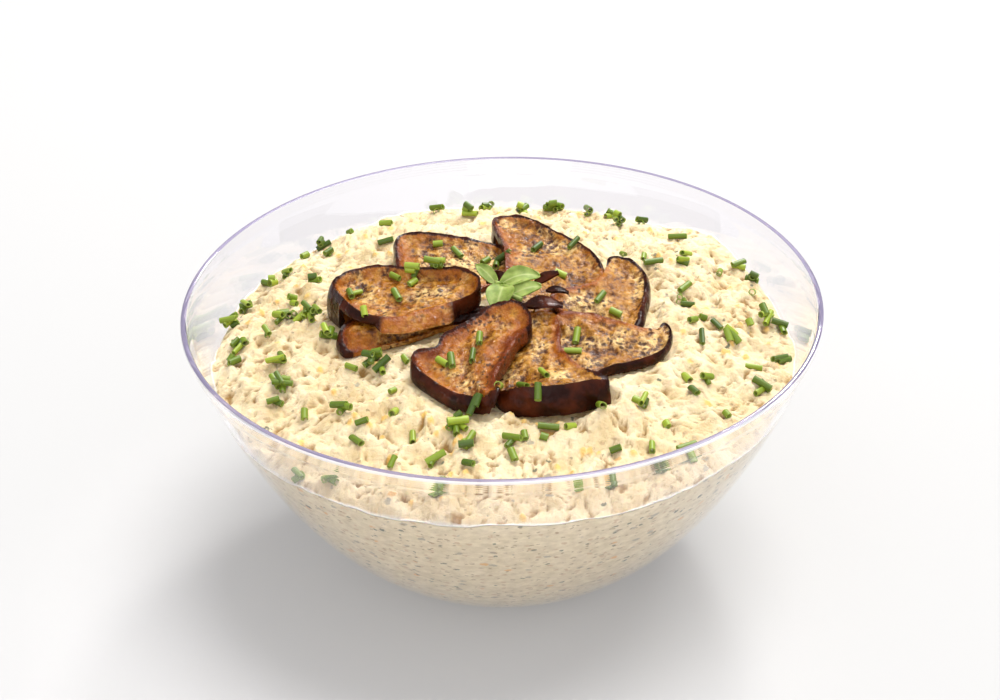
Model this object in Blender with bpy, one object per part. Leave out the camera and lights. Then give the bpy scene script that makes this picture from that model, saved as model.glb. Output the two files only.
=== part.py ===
"""Baba ganoush: an aubergine dip in its clear plastic bowl.

The bowl is a thin moulded shell. The dip fills it to a few centimetres below the rim, with a rough
domed top. Eight fried aubergine slices lie on it as a pinwheel, with curls of skin and a small herb
sprig in the middle. Chopped chives lie on the dip and on the slices.

Metres, +Z up, the bowl's base centre at the origin, the front towards -Y.
"""
import math
import random

import bmesh
import bpy
import numpy as np
from mathutils import Vector
from mathutils.geometry import delaunay_2d_cdt

for old_object in list(bpy.data.objects):
    bpy.data.objects.remove(old_object, do_unlink=True)

MM = 0.001
GAP = 0.5 * MM                      # free gap kept between two pieces that lie against each other


# Helpers

def paint(name, color, roughness, metallic=0.0):
    """A plain Principled material."""
    material = bpy.data.materials.new(name)
    material.use_nodes = True
    shader = material.node_tree.nodes["Principled BSDF"]
    shader.inputs["Base Color"].default_value = (*color, 1.0)
    shader.inputs["Roughness"].default_value = roughness
    shader.inputs["Metallic"].default_value = metallic
    return material


def add_solid(name, vertices, faces, material, smooth=True):
    """A mesh object from vertices in metres, with its faces turned outward."""
    mesh = bpy.data.meshes.new(name)
    mesh.from_pydata([tuple(float(value) for value in vertex) for vertex in vertices], [], faces)
    shape = bmesh.new()
    shape.from_mesh(mesh)
    bmesh.ops.recalc_face_normals(shape, faces=shape.faces)
    if shape.calc_volume(signed=True) < 0:
        bmesh.ops.reverse_faces(shape, faces=shape.faces)
    shape.to_mesh(mesh)
    shape.free()
    for polygon in mesh.polygons:
        polygon.use_smooth = smooth
    mesh.materials.append(material)
    solid = bpy.data.objects.new(name, mesh)
    bpy.context.scene.collection.objects.link(solid)
    return solid


def fuse(base, pieces, solver="EXACT"):
    """One Boolean union of the pieces onto the base. The pieces are used up."""
    group = bpy.data.collections.new(base.name + "_pieces")
    for piece in pieces:
        bpy.context.scene.collection.objects.unlink(piece)
        group.objects.link(piece)
    bpy.context.scene.collection.children.link(group)
    union = base.modifiers.new("fuse", "BOOLEAN")
    union.operation = "UNION"
    union.operand_type = "COLLECTION"
    union.collection = group
    union.solver = solver
    bpy.context.view_layer.objects.active = base
    bpy.ops.object.modifier_apply(modifier=union.name)
    for piece in list(group.objects):
        bpy.data.objects.remove(piece, do_unlink=True)
    bpy.data.collections.remove(group)


def smooth_step(value, low, high):
    """0 below low, 1 above high, with soft ends."""
    share = np.clip((value - low) / (high - low), 0.0, 1.0)
    return share * share * (3.0 - 2.0 * share)


def hills(x, y, spacing, seed):
    """A smooth random field from -1 to 1, whose hills lie about one spacing apart."""
    size = 64
    lattice = np.random.RandomState(seed).uniform(-1.0, 1.0, (size, size))
    across = np.asarray(x) / spacing + size / 2
    along = np.asarray(y) / spacing + size / 2
    column = np.floor(across).astype(int)
    row = np.floor(along).astype(int)
    right = smooth_step(across - column, 0.0, 1.0)
    up = smooth_step(along - row, 0.0, 1.0)
    near = lattice[row % size, column % size] * (1 - right) + lattice[row % size, (column + 1) % size] * right
    far = (lattice[(row + 1) % size, column % size] * (1 - right)
           + lattice[(row + 1) % size, (column + 1) % size] * right)
    return near * (1 - up) + far * up


# Bowl: a clear moulded shell, a deep round curve over a flat disc, with a slightly thicker lip

bowl_height = 122 * MM
rim_radius = 140 * MM
curve_depth = 133.94 * MM           # depth at which the outer curve would close below the base
curve_power = 1.068
curve_root = 2.774
wall = 2.2 * MM
lip_wall = 3.0 * MM
lip_height = 7 * MM
lip_round = 1.0 * MM
base_radius = 58.5 * MM
base_thick = 2.4 * MM
segments = 60


def outer_radius(height):
    """Outer radius of the bowl at a height above the table."""
    depth = (bowl_height - height) / curve_depth
    return rim_radius * (1.0 - max(depth, 0.0) ** curve_power) ** (1.0 / curve_root)


def level_share(height):
    """How much longer a level line through the wall is than a square one, as the wall slopes."""
    step = 1 * MM
    slope = (outer_radius(height + step) - outer_radius(height - step)) / (2 * step)
    return math.sqrt(1.0 + slope * slope)


def wall_across(height):
    """Wall thickness measured level."""
    return wall * level_share(height)


bowl_levels = [level * MM for level in (6, 13, 23, 36, 52, 70, 88, 102, 114.3)]
inner_profile = [(base_radius - 1.5 * MM, base_thick)]
inner_profile += [(outer_radius(level) - wall_across(level), level + 0.8 * MM) for level in bowl_levels[:2]]
inner_profile += [(outer_radius(level) - wall_across(level), level) for level in bowl_levels[2:]]

outer_profile = [(0.0, 0.0), (base_radius, 0.0), (outer_radius(1.6 * MM), 1.6 * MM)]
outer_profile += [(outer_radius(level), level) for level in bowl_levels]
lip_profile = [
    (outer_radius(bowl_height - lip_height) + 0.5 * MM, bowl_height - lip_height),
    (outer_radius(bowl_height - lip_round) + 0.3 * MM, bowl_height - lip_round),
    (rim_radius - lip_round, bowl_height),
    (rim_radius - lip_wall + lip_round, bowl_height),
    (rim_radius - lip_wall, bowl_height - lip_round),
]
bowl_profile = outer_profile + lip_profile + inner_profile[::-1] + [(0.0, base_thick)]


def ring(radius, height, count=segments):
    """The corners of a level ring."""
    return [(radius * math.cos(2 * math.pi * step / count), radius * math.sin(2 * math.pi * step / count), height)
            for step in range(count)]


def lathe(name, profile, material):
    """A closed solid of revolution. The first and last profile points lie on the axis."""
    vertices = [(0.0, 0.0, profile[0][1])]
    faces = []
    for radius, height in profile[1:-1]:
        vertices += ring(radius, height)
    vertices.append((0.0, 0.0, profile[-1][1]))
    last = len(vertices) - 1
    for step in range(segments):
        after = (step + 1) % segments
        faces.append((0, 1 + after, 1 + step))
        top = 1 + (len(profile) - 3) * segments
        faces.append((last, top + step, top + after))
        for band in range(len(profile) - 3):
            low = 1 + band * segments
            faces.append((low + step, low + after, low + segments + after, low + segments + step))
    return add_solid(name, vertices, faces, material)


bowl = lathe("bowl", bowl_profile, paint("clear_plastic", (0.90, 0.92, 0.94), 0.05))


# Aubergine slices: outlines, heights and the way they lie on each other, in millimetres

pinwheel_centre = (5.0, 5.0)
outline_count = 32

# Each outline runs through (x, y, height of the top edge). The slices are listed from the lowest up.
# "thick" is the slice's own thickness, "lean" how far the foot of its skin stands out.
slices = {
    "aubergine_slice_back_left": dict(thick=11, lean=1, outline=[
        (-46, 68, 118), (-26, 67, 118), (-8, 63.5, 116), (2, 61, 113), (5, 48, 111.8), (1, 34, 111.8),
        (-12, 25, 112), (-32, 25, 112.5), (-45, 33, 115), (-48, 50, 118)]),
    "aubergine_slice_left_under": dict(thick=10, lean=1, flat=117, outline=[
        (-70, -8, 114), (-68, -21, 110), (-60, -20.5, 109), (-41, -15.8, 109.5), (-22, -6.5, 111),
        (-7, -3, 112.5), (-9, 8, 114), (-34, 4, 115), (-56, 2, 115)]),
    "aubergine_slice_left": dict(thick=17, lean=3, outline=[
        (-75, 17, 122), (-69, 26, 122.5), (-55, 28.5, 124), (-37, 23.5, 125), (-19, 19.5, 127),
        (-9.6, 8, 128), (-16.5, -1.5, 126), (-31, -10, 123.5), (-45, -15, 122.5), (-60, -10, 122), (-70, 4, 121.5)]),
    "aubergine_slice_back": dict(thick=11, lean=2, outline=[
        (-3.6, 77, 119), (6, 80.5, 120), (15, 77, 120), (28, 65.5, 118), (38, 56, 117), (44, 45, 116),
        (46.5, 33, 113), (41, 20, 111.5), (28, 9, 112), (12, -3, 117), (0, 6, 119), (2, 32, 119.5),
        (1.5, 54, 118.5)]),
    "aubergine_slice_right": dict(thick=10, lean=1.5, outline=[
        (49.5, 40.5, 118.5), (57.5, 39, 119), (63.5, 31, 118), (65, 21, 116.5), (62.5, 6, 114.5), (57.5, -10, 111.5),
        (47, -12, 110.7), (33, -9, 111.2), (25, -2, 115), (22.5, 10.5, 119), (37, 17, 118.5), (46, 28, 118)]),
    "aubergine_slice_front_right": dict(thick=8, lean=-1.5, outline=[
        (23, -8, 118), (38, -6, 117.5), (53, -13.5, 116.5), (65, -17, 115), (70.5, -12.5, 115), (73, -19, 114),
        (69.5, -29.5, 112.5), (60.5, -37, 112.5), (47, -43, 113), (36, -46.5, 112), (27, -36, 111),
        (21, -20, 112)]),
    "aubergine_slice_front": dict(thick=13.5, lean=2.5, outline=[
        (12.5, -10, 121), (22.5, -11.5, 120.5), (24.4, -24, 119), (24.5, -34, 118), (31, -49, 118), (38.5, -59.5, 120),
        (43.5, -61.5, 118), (36, -66.5, 120.5), (21, -70.5, 121), (8, -69.5, 119.5), (-3, -63, 114.5),
        (-5, -48, 113), (-2, -30, 114), (5, -16, 118)]),
    "aubergine_slice_front_left": dict(thick=7.5, lean=2, outline=[
        (-37.5, -35, 117), (-28.5, -32, 118), (-25.5, -25, 119), (-15, -19, 122), (-4, -12, 126), (8, -13.5, 128),
        (12.6, -24, 124), (7, -32, 123), (2, -45, 121.5), (-3.5, -60, 119.5), (-3, -71, 117), (-19, -64.5, 114),
        (-32, -51, 114), (-38, -42, 115.5)]),
}


def closed_curve(points, count):
    """A smooth closed curve through the points, cut into equal steps seen from above."""
    points = np.array(points, dtype=float)
    before, after, beyond = (np.roll(points, shift, axis=0) for shift in (1, -1, -2))
    share = np.linspace(0.0, 1.0, 12, endpoint=False)[:, None, None]
    curve = 0.5 * (2 * points + (after - before) * share
                   + (2 * before - 5 * points + 4 * after - beyond) * share ** 2
                   + (3 * points - before - 3 * after + beyond) * share ** 3)
    curve = curve.transpose(1, 0, 2).reshape(-1, points.shape[1])
    loop = np.vstack([curve, curve[:1]])
    travelled = np.concatenate([[0.0], np.cumsum(np.hypot(*np.diff(loop[:, :2], axis=0).T))])
    stops = np.linspace(0.0, travelled[-1], count, endpoint=False)
    return np.stack([np.interp(stops, travelled, loop[:, axis]) for axis in range(points.shape[1])], axis=1)


def inside_distance(outline, x, y):
    """Distance to the outline in the plan view, positive inside it."""
    nearest = np.full(np.shape(x), 1e9)
    crossings = np.zeros(np.shape(x), dtype=int)
    for (ax, ay), (bx, by) in zip(outline[:, :2], np.roll(outline[:, :2], -1, axis=0)):
        share = np.clip(((x - ax) * (bx - ax) + (y - ay) * (by - ay)) / ((bx - ax) ** 2 + (by - ay) ** 2), 0, 1)
        nearest = np.minimum(nearest, np.hypot(x - ax - share * (bx - ax), y - ay - share * (by - ay)))
        straddles = (ay > y) != (by > y)
        crossings += straddles & (x < ax + (y - ay) * (bx - ax) / (by - ay if by != ay else 1.0))
    return np.where(crossings % 2 == 1, nearest, -nearest)


def slice_top(piece, x, y):
    """Height of a slice's top: the edge heights carried inward, the flesh sunk below its rim."""
    outline = piece["curve"]
    weights = [1.0 / (np.hypot(x - px, y - py) ** 3 + 0.01) for px, py, _ in outline]
    height = sum(weight * pz for weight, (_, _, pz) in zip(weights, outline)) / sum(weights)
    within = inside_distance(outline, x, y)
    if "flat" in piece:
        return height + (piece["flat"] - height) * smooth_step(within, 0.0, 6.0)
    sunk = 1.2 * smooth_step(within, 0.5, 5.0)
    return height - sunk + 0.3 * hills(x, y, 9.0, 11) * smooth_step(within, 0.0, 3.0)


# Dip: the level along the wall, the dome and its lumps, in millimetres

dip_middle = 110.5
dome_power = 2.4


def contact_depth(azimuth):
    """How far below the rim the dip meets the wall: deeper at the front, with one swell at the back right."""
    swell = 4.0 * math.exp(-(((azimuth - 0.73 + math.pi) % (2 * math.pi) - math.pi) / 0.2) ** 2)
    wave = 0.9 * math.sin(5 * azimuth + 1.0) + 0.7 * math.sin(9 * azimuth)
    return 26.5 - 3.8 * math.sin(azimuth) - 1.2 * math.cos(azimuth) - swell + wave


def inner_radius(height):
    """Inner radius of the bowl, in millimetres, along its straight steps between two rings."""
    return float(np.interp(height * MM, [point[1] for point in inner_profile],
                           [point[0] for point in inner_profile])) / MM


def dome(x, y):
    """Smooth height of the dip."""
    azimuth = np.arctan2(y, x)
    contact = bowl_height / MM - np.vectorize(contact_depth)(azimuth)
    share = np.hypot(x, y) / (np.vectorize(inner_radius)(contact) - GAP / MM)
    return dip_middle - (dip_middle - contact) * share ** dome_power


def lumps(x, y):
    """Rough spooned texture: broad heaps with small crags on them."""
    broad = 1.6 * hills(x, y, 24.0, 3)
    crags = 2.1 * (1.0 - 2.2 * np.abs(hills(x, y, 13.0, 4))) + 1.5 * hills(x, y, 8.0, 5)
    return broad + crags + 0.5


# The slices are stacked on a fine grid: each one lies on the dip and on the slices below it

grid_step = 1.0
grid_x, grid_y = np.meshgrid(np.arange(-95.0, 96.0, grid_step), np.arange(-90.0, 96.0, grid_step))
bearing_reach = 7.5                 # a slice stays above another slice's edge that lies this near below it
bearing_gap = 1.1                   # free gap between two slices that lie on each other
least_thick = 2.2                   # thinnest that a slice is pressed
ground = dome(grid_x, grid_y) + GAP / MM
covered = np.full(grid_x.shape, -1e9)
nearest_slice = np.full(grid_x.shape, -1e9)


def sample(field, x, y):
    """The field between its grid points."""
    across = (np.asarray(x) - grid_x[0, 0]) / grid_step
    along = (np.asarray(y) - grid_y[0, 0]) / grid_step
    column = np.clip(np.floor(across).astype(int), 0, field.shape[1] - 2)
    row = np.clip(np.floor(along).astype(int), 0, field.shape[0] - 2)
    right, up = across - column, along - row
    near = field[row, column] * (1 - right) + field[row, column + 1] * right
    far = field[row + 1, column] * (1 - right) + field[row + 1, column + 1] * right
    return near * (1 - up) + far * up


for piece in slices.values():
    piece["curve"] = closed_curve(piece["outline"], outline_count)
    within = inside_distance(piece["curve"], grid_x, grid_y)
    piece["support"] = np.maximum(ground, covered + bearing_gap)
    top = np.maximum(slice_top(piece, grid_x, grid_y), piece["support"] + least_thick)
    crest = np.maximum(top, piece.get("flat", 0.0))
    covered = np.where(within > -bearing_reach, np.maximum(covered, crest), covered)
    nearest_slice = np.maximum(nearest_slice, within + max(piece["lean"], 0.0))


def dip_height(x, y):
    """Height of the dip's top: the dome, with lumps that fade out under the slices and at the wall."""
    clear = smooth_step(-sample(nearest_slice, x, y), 2.0, 12.0)
    to_wall = 1.0 - smooth_step(np.hypot(x, y), 118.0, 129.0)
    return dome(x, y) + lumps(x, y) * clear * (0.25 + 0.75 * to_wall)


def jittered_points(spacing, jitter, seed, reach):
    """Points of a loose triangular grid round the origin."""
    generator = random.Random(seed)
    points = []
    rows = int(reach / (spacing * math.sqrt(0.75))) + 1
    columns = int(reach / spacing) + 1
    for row in range(-rows, rows + 1):
        for column in range(-columns, columns + 1):
            x = (column + 0.5 * (row % 2)) * spacing + generator.uniform(-jitter, jitter)
            y = row * spacing * math.sqrt(0.75) + generator.uniform(-jitter, jitter)
            points.append((x, y))
    return points


def triangulate(loop, extra):
    """Triangles of a plan area from its edge loop and the points inside it."""
    corners = [Vector(point) for point in list(loop) + list(extra)]
    edges = [(step, (step + 1) % len(loop)) for step in range(len(loop))]
    result = delaunay_2d_cdt(corners, edges, [], 1, 1e-6)
    return [tuple(corner) for corner in result[0]], [tuple(face) for face in result[2]]


# Dip solid: its side follows the bowl, its top is the rough dome

dip_material = paint("dip_cream", (0.90, 0.78, 0.58), 0.55)
dip_spacing = 6.2
azimuths = [2 * math.pi * step / segments for step in range(segments)]
contact_ring = []
for azimuth in azimuths:
    level = bowl_height / MM - contact_depth(azimuth)
    radius = inner_radius(level) - GAP / MM
    contact_ring.append((radius * math.cos(azimuth), radius * math.sin(azimuth), level))
inner_points = [point for point in jittered_points(dip_spacing, 1.5, 21, 130.0)
                if math.hypot(*point) < inner_radius(88.0) - 0.35 * dip_spacing]
plan, top_faces = triangulate([point[:2] for point in contact_ring], inner_points)
dip_vertices = []
for index, (x, y) in enumerate(plan):
    height = contact_ring[index][2] if index < segments else float(dip_height(x, y))
    dip_vertices.append((x * MM, y * MM, height * MM))
dip_faces = [face for face in top_faces]
upper_ring = list(range(segments))
for level, radius in [(point[1], point[0]) for point in inner_profile[::-1] if point[1] < 90 * MM]:
    start = len(dip_vertices)
    dip_vertices += ring(radius - GAP * level_share(level), max(level, base_thick + GAP))
    lower_ring = list(range(start, start + segments))
    for step in range(segments):
        after = (step + 1) % segments
        dip_faces.append((upper_ring[step], upper_ring[after], lower_ring[after], lower_ring[step]))
    upper_ring = lower_ring
foot = len(dip_vertices)
dip_vertices.append((0.0, 0.0, base_thick + GAP))
dip_faces += [(upper_ring[step], upper_ring[(step + 1) % segments], foot) for step in range(segments)]
dip = add_solid("dip", dip_vertices, dip_faces, dip_material)


# Slice solids: the top and the underside share one triangulation, with a bulged skin wall between

slice_material = paint("fried_aubergine", (0.38, 0.20, 0.08), 0.35)
slice_solids = {}
for name, piece in slices.items():
    curve = piece["curve"]
    inner = [point for point in jittered_points(7.2, 1.0, 5, 110.0)
             if inside_distance(curve, np.array(point[0]), np.array(point[1])) > 3.4]
    plan, faces = triangulate([tuple(point[:2]) for point in curve], inner)
    outward = np.array([[point[0] - pinwheel_centre[0], point[1] - pinwheel_centre[1]] for point in curve])
    outward /= np.hypot(*outward.T)[:, None]
    along = np.roll(curve[:, :2], -1, axis=0) - np.roll(curve[:, :2], 1, axis=0)
    normal = np.stack([along[:, 1], -along[:, 0]], axis=1) / np.hypot(*along.T)[:, None]
    if inside_distance(curve, curve[0, 0] + normal[0, 0], curve[0, 1] + normal[0, 1]) > 0:
        normal = -normal
    faces_out = np.clip((normal * outward).sum(axis=1), 0.0, 1.0) ** 3
    top, waist, under = [], [], []
    for index, (x, y) in enumerate(plan):
        reach = piece["lean"] * faces_out[index] if index < outline_count else 0.0
        foot_x, foot_y = (x + normal[index][0] * reach, y + normal[index][1] * reach) if reach else (x, y)
        support = float(sample(piece["support"], foot_x, foot_y))
        upper = max(float(slice_top(piece, x, y)), support + least_thick)
        lower = max(support, upper - piece["thick"])
        if index < outline_count:
            upper += 0.35 * float(hills(x, y, 4.0, 8))
            bulge = 0.5 * reach + 0.6 * faces_out[index]
            waist.append((x + normal[index][0] * bulge, y + normal[index][1] * bulge, 0.5 * (upper + lower)))
        top.append((x, y, upper))
        under.append((foot_x, foot_y, lower))
    count = len(plan)
    vertices = [tuple(value * MM for value in point) for point in top + under + waist]
    solid_faces = list(faces) + [tuple(corner + count for corner in reversed(face)) for face in faces]
    for step in range(outline_count):
        after = (step + 1) % outline_count
        middle, middle_after = 2 * count + step, 2 * count + after
        solid_faces.append((step, after, middle_after, middle))
        solid_faces.append((middle, middle_after, count + after, count + step))
    slice_solids[name] = add_solid(name, vertices, solid_faces, slice_material)


# Skin curls and the herb sprig: thin bent sheets

def sheet(rows, thickness):
    """A closed thin solid round a grid of points, both faces split into triangles alike."""
    grid = np.array(rows, dtype=float)
    lengthways = np.gradient(grid, axis=0)
    across = np.gradient(grid, axis=1)
    normal = np.cross(lengthways, across)
    normal /= np.linalg.norm(normal, axis=2)[:, :, None]
    upper = (grid + normal * thickness / 2).reshape(-1, 3)
    lower = (grid - normal * thickness / 2).reshape(-1, 3)
    count_long, count_wide = grid.shape[:2]
    offset = count_long * count_wide
    faces = []
    for row in range(count_long - 1):
        for column in range(count_wide - 1):
            a = row * count_wide + column
            b, c, d = a + 1, a + count_wide + 1, a + count_wide
            faces += [(a, b, c), (a, c, d), (offset + a, offset + c, offset + b), (offset + a, offset + d, offset + c)]
    border = [column for column in range(count_wide)]
    border += [row * count_wide + count_wide - 1 for row in range(1, count_long)]
    border += [(count_long - 1) * count_wide + column for column in range(count_wide - 2, -1, -1)]
    border += [row * count_wide for row in range(count_long - 2, 0, -1)]
    for here, there in zip(border, border[1:] + border[:1]):
        faces.append((here, offset + here, offset + there, there))
    return np.vstack([upper, lower]) * MM, faces


def bent_strip(start, end, width, rise, lean, taper, steps, columns):
    """Points of a strip from start to end: arched by rise, tilted by lean degrees, narrowed to its ends."""
    start, end = np.array(start, dtype=float), np.array(end, dtype=float)
    level = np.cross(end - start, (0.0, 0.0, 1.0))
    level /= np.linalg.norm(level)
    upright = np.cross(level, end - start)
    upright /= np.linalg.norm(upright)
    tilt = math.radians(lean)
    side = level * math.cos(tilt) + upright * math.sin(tilt)
    fold = np.cross(side, end - start)
    fold /= np.linalg.norm(fold)
    rows = []
    for step in range(steps + 1):
        share = step / steps
        middle = start + (end - start) * share + np.array((0.0, 0.0, 1.0)) * rise * math.sin(math.pi * share)
        half = 0.5 * width * max(taper, math.sin(math.pi * share ** 0.85) ** 0.6)
        row = []
        for column in range(columns + 1):
            offset = 2.0 * column / columns - 1.0
            cup = 0.12 * width * offset * offset
            row.append(middle + side * half * offset + fold * cup)
        rows.append(row)
    return rows


skin_material = paint("aubergine_skin", (0.05, 0.02, 0.03), 0.25)
curls = {
    "skin_curl_left": dict(start=(-6.5, 14.5, 122.8), end=(3.5, 14.0, 125.5), width=5.0, rise=1.5, lean=-50),
    "skin_curl_back": dict(start=(14.5, 13.0, 122.3), end=(25.5, 13.5, 127.0), width=4.6, rise=0.8, lean=-35),
    "skin_curl_right": dict(start=(19.5, 6.0, 122.2), end=(29.5, 4.5, 121.8), width=3.6, rise=1.2, lean=-20),
    "skin_curl_front": dict(start=(9.5, -8.8, 123.0), end=(26.5, -9.6, 123.2), width=7.5, rise=1.8, lean=-12),
}
for name, curl in curls.items():
    rows = bent_strip(curl["start"], curl["end"], curl["width"], curl["rise"], curl["lean"], 0.45, 7, 3)
    add_solid(name, *sheet(rows, 1.2), skin_material)

leaf_material = paint("herb_leaf", (0.25, 0.45, 0.14), 0.45)
leaf_thickness = 0.8
leaves = [
    dict(start=(-2.2, 6.2, 126.8), end=(-10.5, 12.5, 130.0), width=5.0, rise=1.0, lean=25),
    dict(start=(-0.6, 4.2, 126.8), end=(17.0, 8.5, 129.0), width=11.5, rise=3.0, lean=-24),
    dict(start=(1.2, 2.2, 126.2), end=(-1.2, -8.0, 122.4), width=9.5, rise=1.4, lean=-4),
    dict(start=(3.8, -1.8, 124.8), end=(17.5, 1.5, 127.2), width=8.0, rise=1.2, lean=-22),
]
stem_path = [(-3.0, 7.6, 126.6), (-0.6, 4.6, 126.8), (1.4, 1.6, 125.8), (4.0, -2.0, 125.0), (8.6, -5.6, 124.8)]
stem_radius = 1.1
stem_sides = 7


def tube(path, radius, sides, material, name):
    """A closed rod along the path, in millimetres."""
    vertices, faces = [], []
    path = [Vector(point) for point in path]
    for index, point in enumerate(path):
        ahead = path[min(index + 1, len(path) - 1)] - path[max(index - 1, 0)]
        turn = ahead.to_track_quat("Z", "Y").to_matrix()
        for side in range(sides):
            angle = 2 * math.pi * side / sides
            corner = point + turn @ Vector((radius * math.cos(angle), radius * math.sin(angle), 0.0))
            vertices.append(corner * MM)
    for index in range(len(path) - 1):
        for side in range(sides):
            after = (side + 1) % sides
            low, high = index * sides, (index + 1) * sides
            faces.append((low + side, low + after, high + after, high + side))
    faces.append(tuple(range(sides)))
    faces.append(tuple((len(path) - 1) * sides + side for side in reversed(range(sides))))
    return add_solid(name, vertices, faces, material)


sprig = tube(stem_path, stem_radius, stem_sides, leaf_material, "herb_sprig")
leaf_solids = []
for number, leaf in enumerate(leaves):
    rows = bent_strip(leaf["start"], leaf["end"], leaf["width"], leaf["rise"], leaf["lean"], 0.25, 6, 2)
    leaf_solids.append(add_solid(f"leaf_{number}", *sheet(rows, leaf_thickness), leaf_material))
fuse(sprig, leaf_solids, "MANIFOLD")


# Chives: chopped green tubes, here as plain rods, sunk a little into what they lie on

chive_radius = 1.65
# Where chives lie on the dip: (x, y, how many)
dip_chives = [
    (-30, 117, 1), (-10, 113, 3), (10, 117, 2), (28, 117, 3), (46, 109, 3), (57, 99, 2), (84, 82, 1),
    (-55, 105, 1), (-84, 82, 2), (-98, 64, 2), (-86, 52, 1), (-96, 35, 1), (-117, 31, 3), (-97, 22, 3),
    (-87, 12, 3), (-117, 3, 2), (-97, -17, 2), (-117, -14, 1), (-56, -34, 3), (-95, -38, 3), (-84, -58, 1),
    (-68, -62, 2), (-46, -65, 1), (-61, -81, 1), (-38, -80, 1), (-19, -80, 2), (-16, -92, 2), (3, -92, 2),
    (15, -80, 2), (27, -82, 1), (45, -91, 1), (57, -65, 2), (66, -76, 1), (92, -62, 1), (82, -46, 2),
    (109, -40, 1), (118, -19, 1), (98, -8, 2), (84, 0, 1), (82, 20, 2), (117, 12, 3), (112, 44, 2), (85, 56, 1),
    (-70, -95, 1), (41, -104, 1),
]
# Where chives lie on the slices: (x, y, heading in degrees)
slice_chives = {
    "aubergine_slice_back_left": [(-30, 55, 95), (-20, 50, 110)],
    "aubergine_slice_left": [(-60, 10, 120), (-44, 17, 70), (-44, 5, 115)],
    "aubergine_slice_back": [(16, 54, 60), (35, 54, 120)],
    "aubergine_slice_right": [(45, 10, 70)],
    "aubergine_slice_front_right": [(35, -22, 75)],
    "aubergine_slice_front": [(17, -55, 95)],
    "aubergine_slice_front_left": [(-7, -32, 15), (-11, -44, 75), (-24, -42, 70)],
}
generator = random.Random(64)


def rod(centre, heading, pitch, length):
    """One chive as a six-sided rod."""
    reach = 0.5 * length
    ahead = Vector((math.cos(heading) * math.cos(pitch), math.sin(heading) * math.cos(pitch), math.sin(pitch)))
    middle = Vector(centre)
    return tube([middle - ahead * reach, middle + ahead * reach], chive_radius, 6, dip_material, "chive")


def surface_height(solid, x, y):
    """Height of the solid's upper side at a plan point."""
    hit = solid.ray_cast((x * MM, y * MM, 1.0), (0.0, 0.0, -1.0))
    return hit[1].z / MM


rods = []
for x, y, count in dip_chives:
    for _ in range(count):
        spread = 2.0 + 1.6 * count
        px, py = x + generator.uniform(-spread, spread), y + generator.uniform(-spread, spread)
        length = generator.uniform(4.5, 8.5)
        heading = generator.uniform(0.0, math.pi)
        room = inner_radius(96.0) - math.hypot(px, py)
        if sample(nearest_slice, px, py) > -7.5 or room < 8.0:
            continue
        height = surface_height(dip, px, py) + 0.4 * chive_radius
        rods.append(rod((px, py, height), heading, generator.uniform(-0.15, 0.15), length))
fuse(dip, rods)

for name, places in slice_chives.items():
    rods = []
    for x, y, heading in places:
        height = surface_height(slice_solids[name], x, y) + 0.4 * chive_radius
        rods.append(rod((x, y, height), math.radians(heading), 0.03, generator.uniform(5.0, 7.0)))
    fuse(slice_solids[name], rods)

# Crisp edges between the smooth faces
crease = math.radians(40.0)
for solid in bpy.data.objects:
    shape = bmesh.new()
    shape.from_mesh(solid.data)
    for edge in shape.edges:
        edge.smooth = edge.calc_face_angle(0.0) < crease
    shape.to_mesh(solid.data)
    shape.free()
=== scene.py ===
import math
import random

import bpy
import numpy as np
from mathutils import Matrix, Vector
from mathutils.bvhtree import BVHTree
from mathutils.geometry import delaunay_2d_cdt


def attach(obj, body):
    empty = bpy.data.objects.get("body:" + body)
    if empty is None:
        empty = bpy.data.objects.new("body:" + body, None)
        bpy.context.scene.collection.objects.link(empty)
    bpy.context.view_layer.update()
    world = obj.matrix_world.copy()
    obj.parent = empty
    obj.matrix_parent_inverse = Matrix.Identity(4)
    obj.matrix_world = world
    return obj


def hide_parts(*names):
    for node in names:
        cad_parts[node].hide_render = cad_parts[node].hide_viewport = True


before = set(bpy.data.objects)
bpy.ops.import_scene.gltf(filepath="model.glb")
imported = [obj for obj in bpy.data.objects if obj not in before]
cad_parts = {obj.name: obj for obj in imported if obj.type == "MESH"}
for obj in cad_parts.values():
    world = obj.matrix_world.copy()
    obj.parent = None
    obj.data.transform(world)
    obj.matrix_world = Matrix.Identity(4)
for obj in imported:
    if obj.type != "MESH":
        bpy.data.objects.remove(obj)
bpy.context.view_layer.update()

# Bowl
# A deep salad bowl, injection moulded in one piece from clear polystyrene. Its wall is 2.2 mm thick,
# with a slightly thicker lip above a small step, and the mould has left fine turned rings on the lip.

MM = 0.001
bowl_height = 122.0
rim_radius = 140.0
curve_depth = 133.94                # depth at which the outer curve would close below the base
curve_power = 1.068
curve_root = 2.774
wall = 2.2
disc_radius = 57.0                  # the flat disc under the base
base_radius = 58.5
base_thick = 2.4
floor_turn = 4.5                    # level at which the inside of the wall turns into the floor
bowl_segments = 192


def outer_radius(height):
    """Outer radius of the bowl in millimetres at a height above the table."""
    depth = np.clip((bowl_height - np.asarray(height, dtype=float)) / curve_depth, 0.0, 0.93)
    return rim_radius * (1.0 - depth ** curve_power) ** (1.0 / curve_root)


def inner_radius(height):
    """Inner radius of the bowl: the wall is 2.2 mm thick square to its slope."""
    slope = (outer_radius(np.asarray(height) + 1.0) - outer_radius(np.asarray(height) - 1.0)) / 2.0
    return outer_radius(height) - wall * np.sqrt(1.0 + slope * slope)


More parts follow.
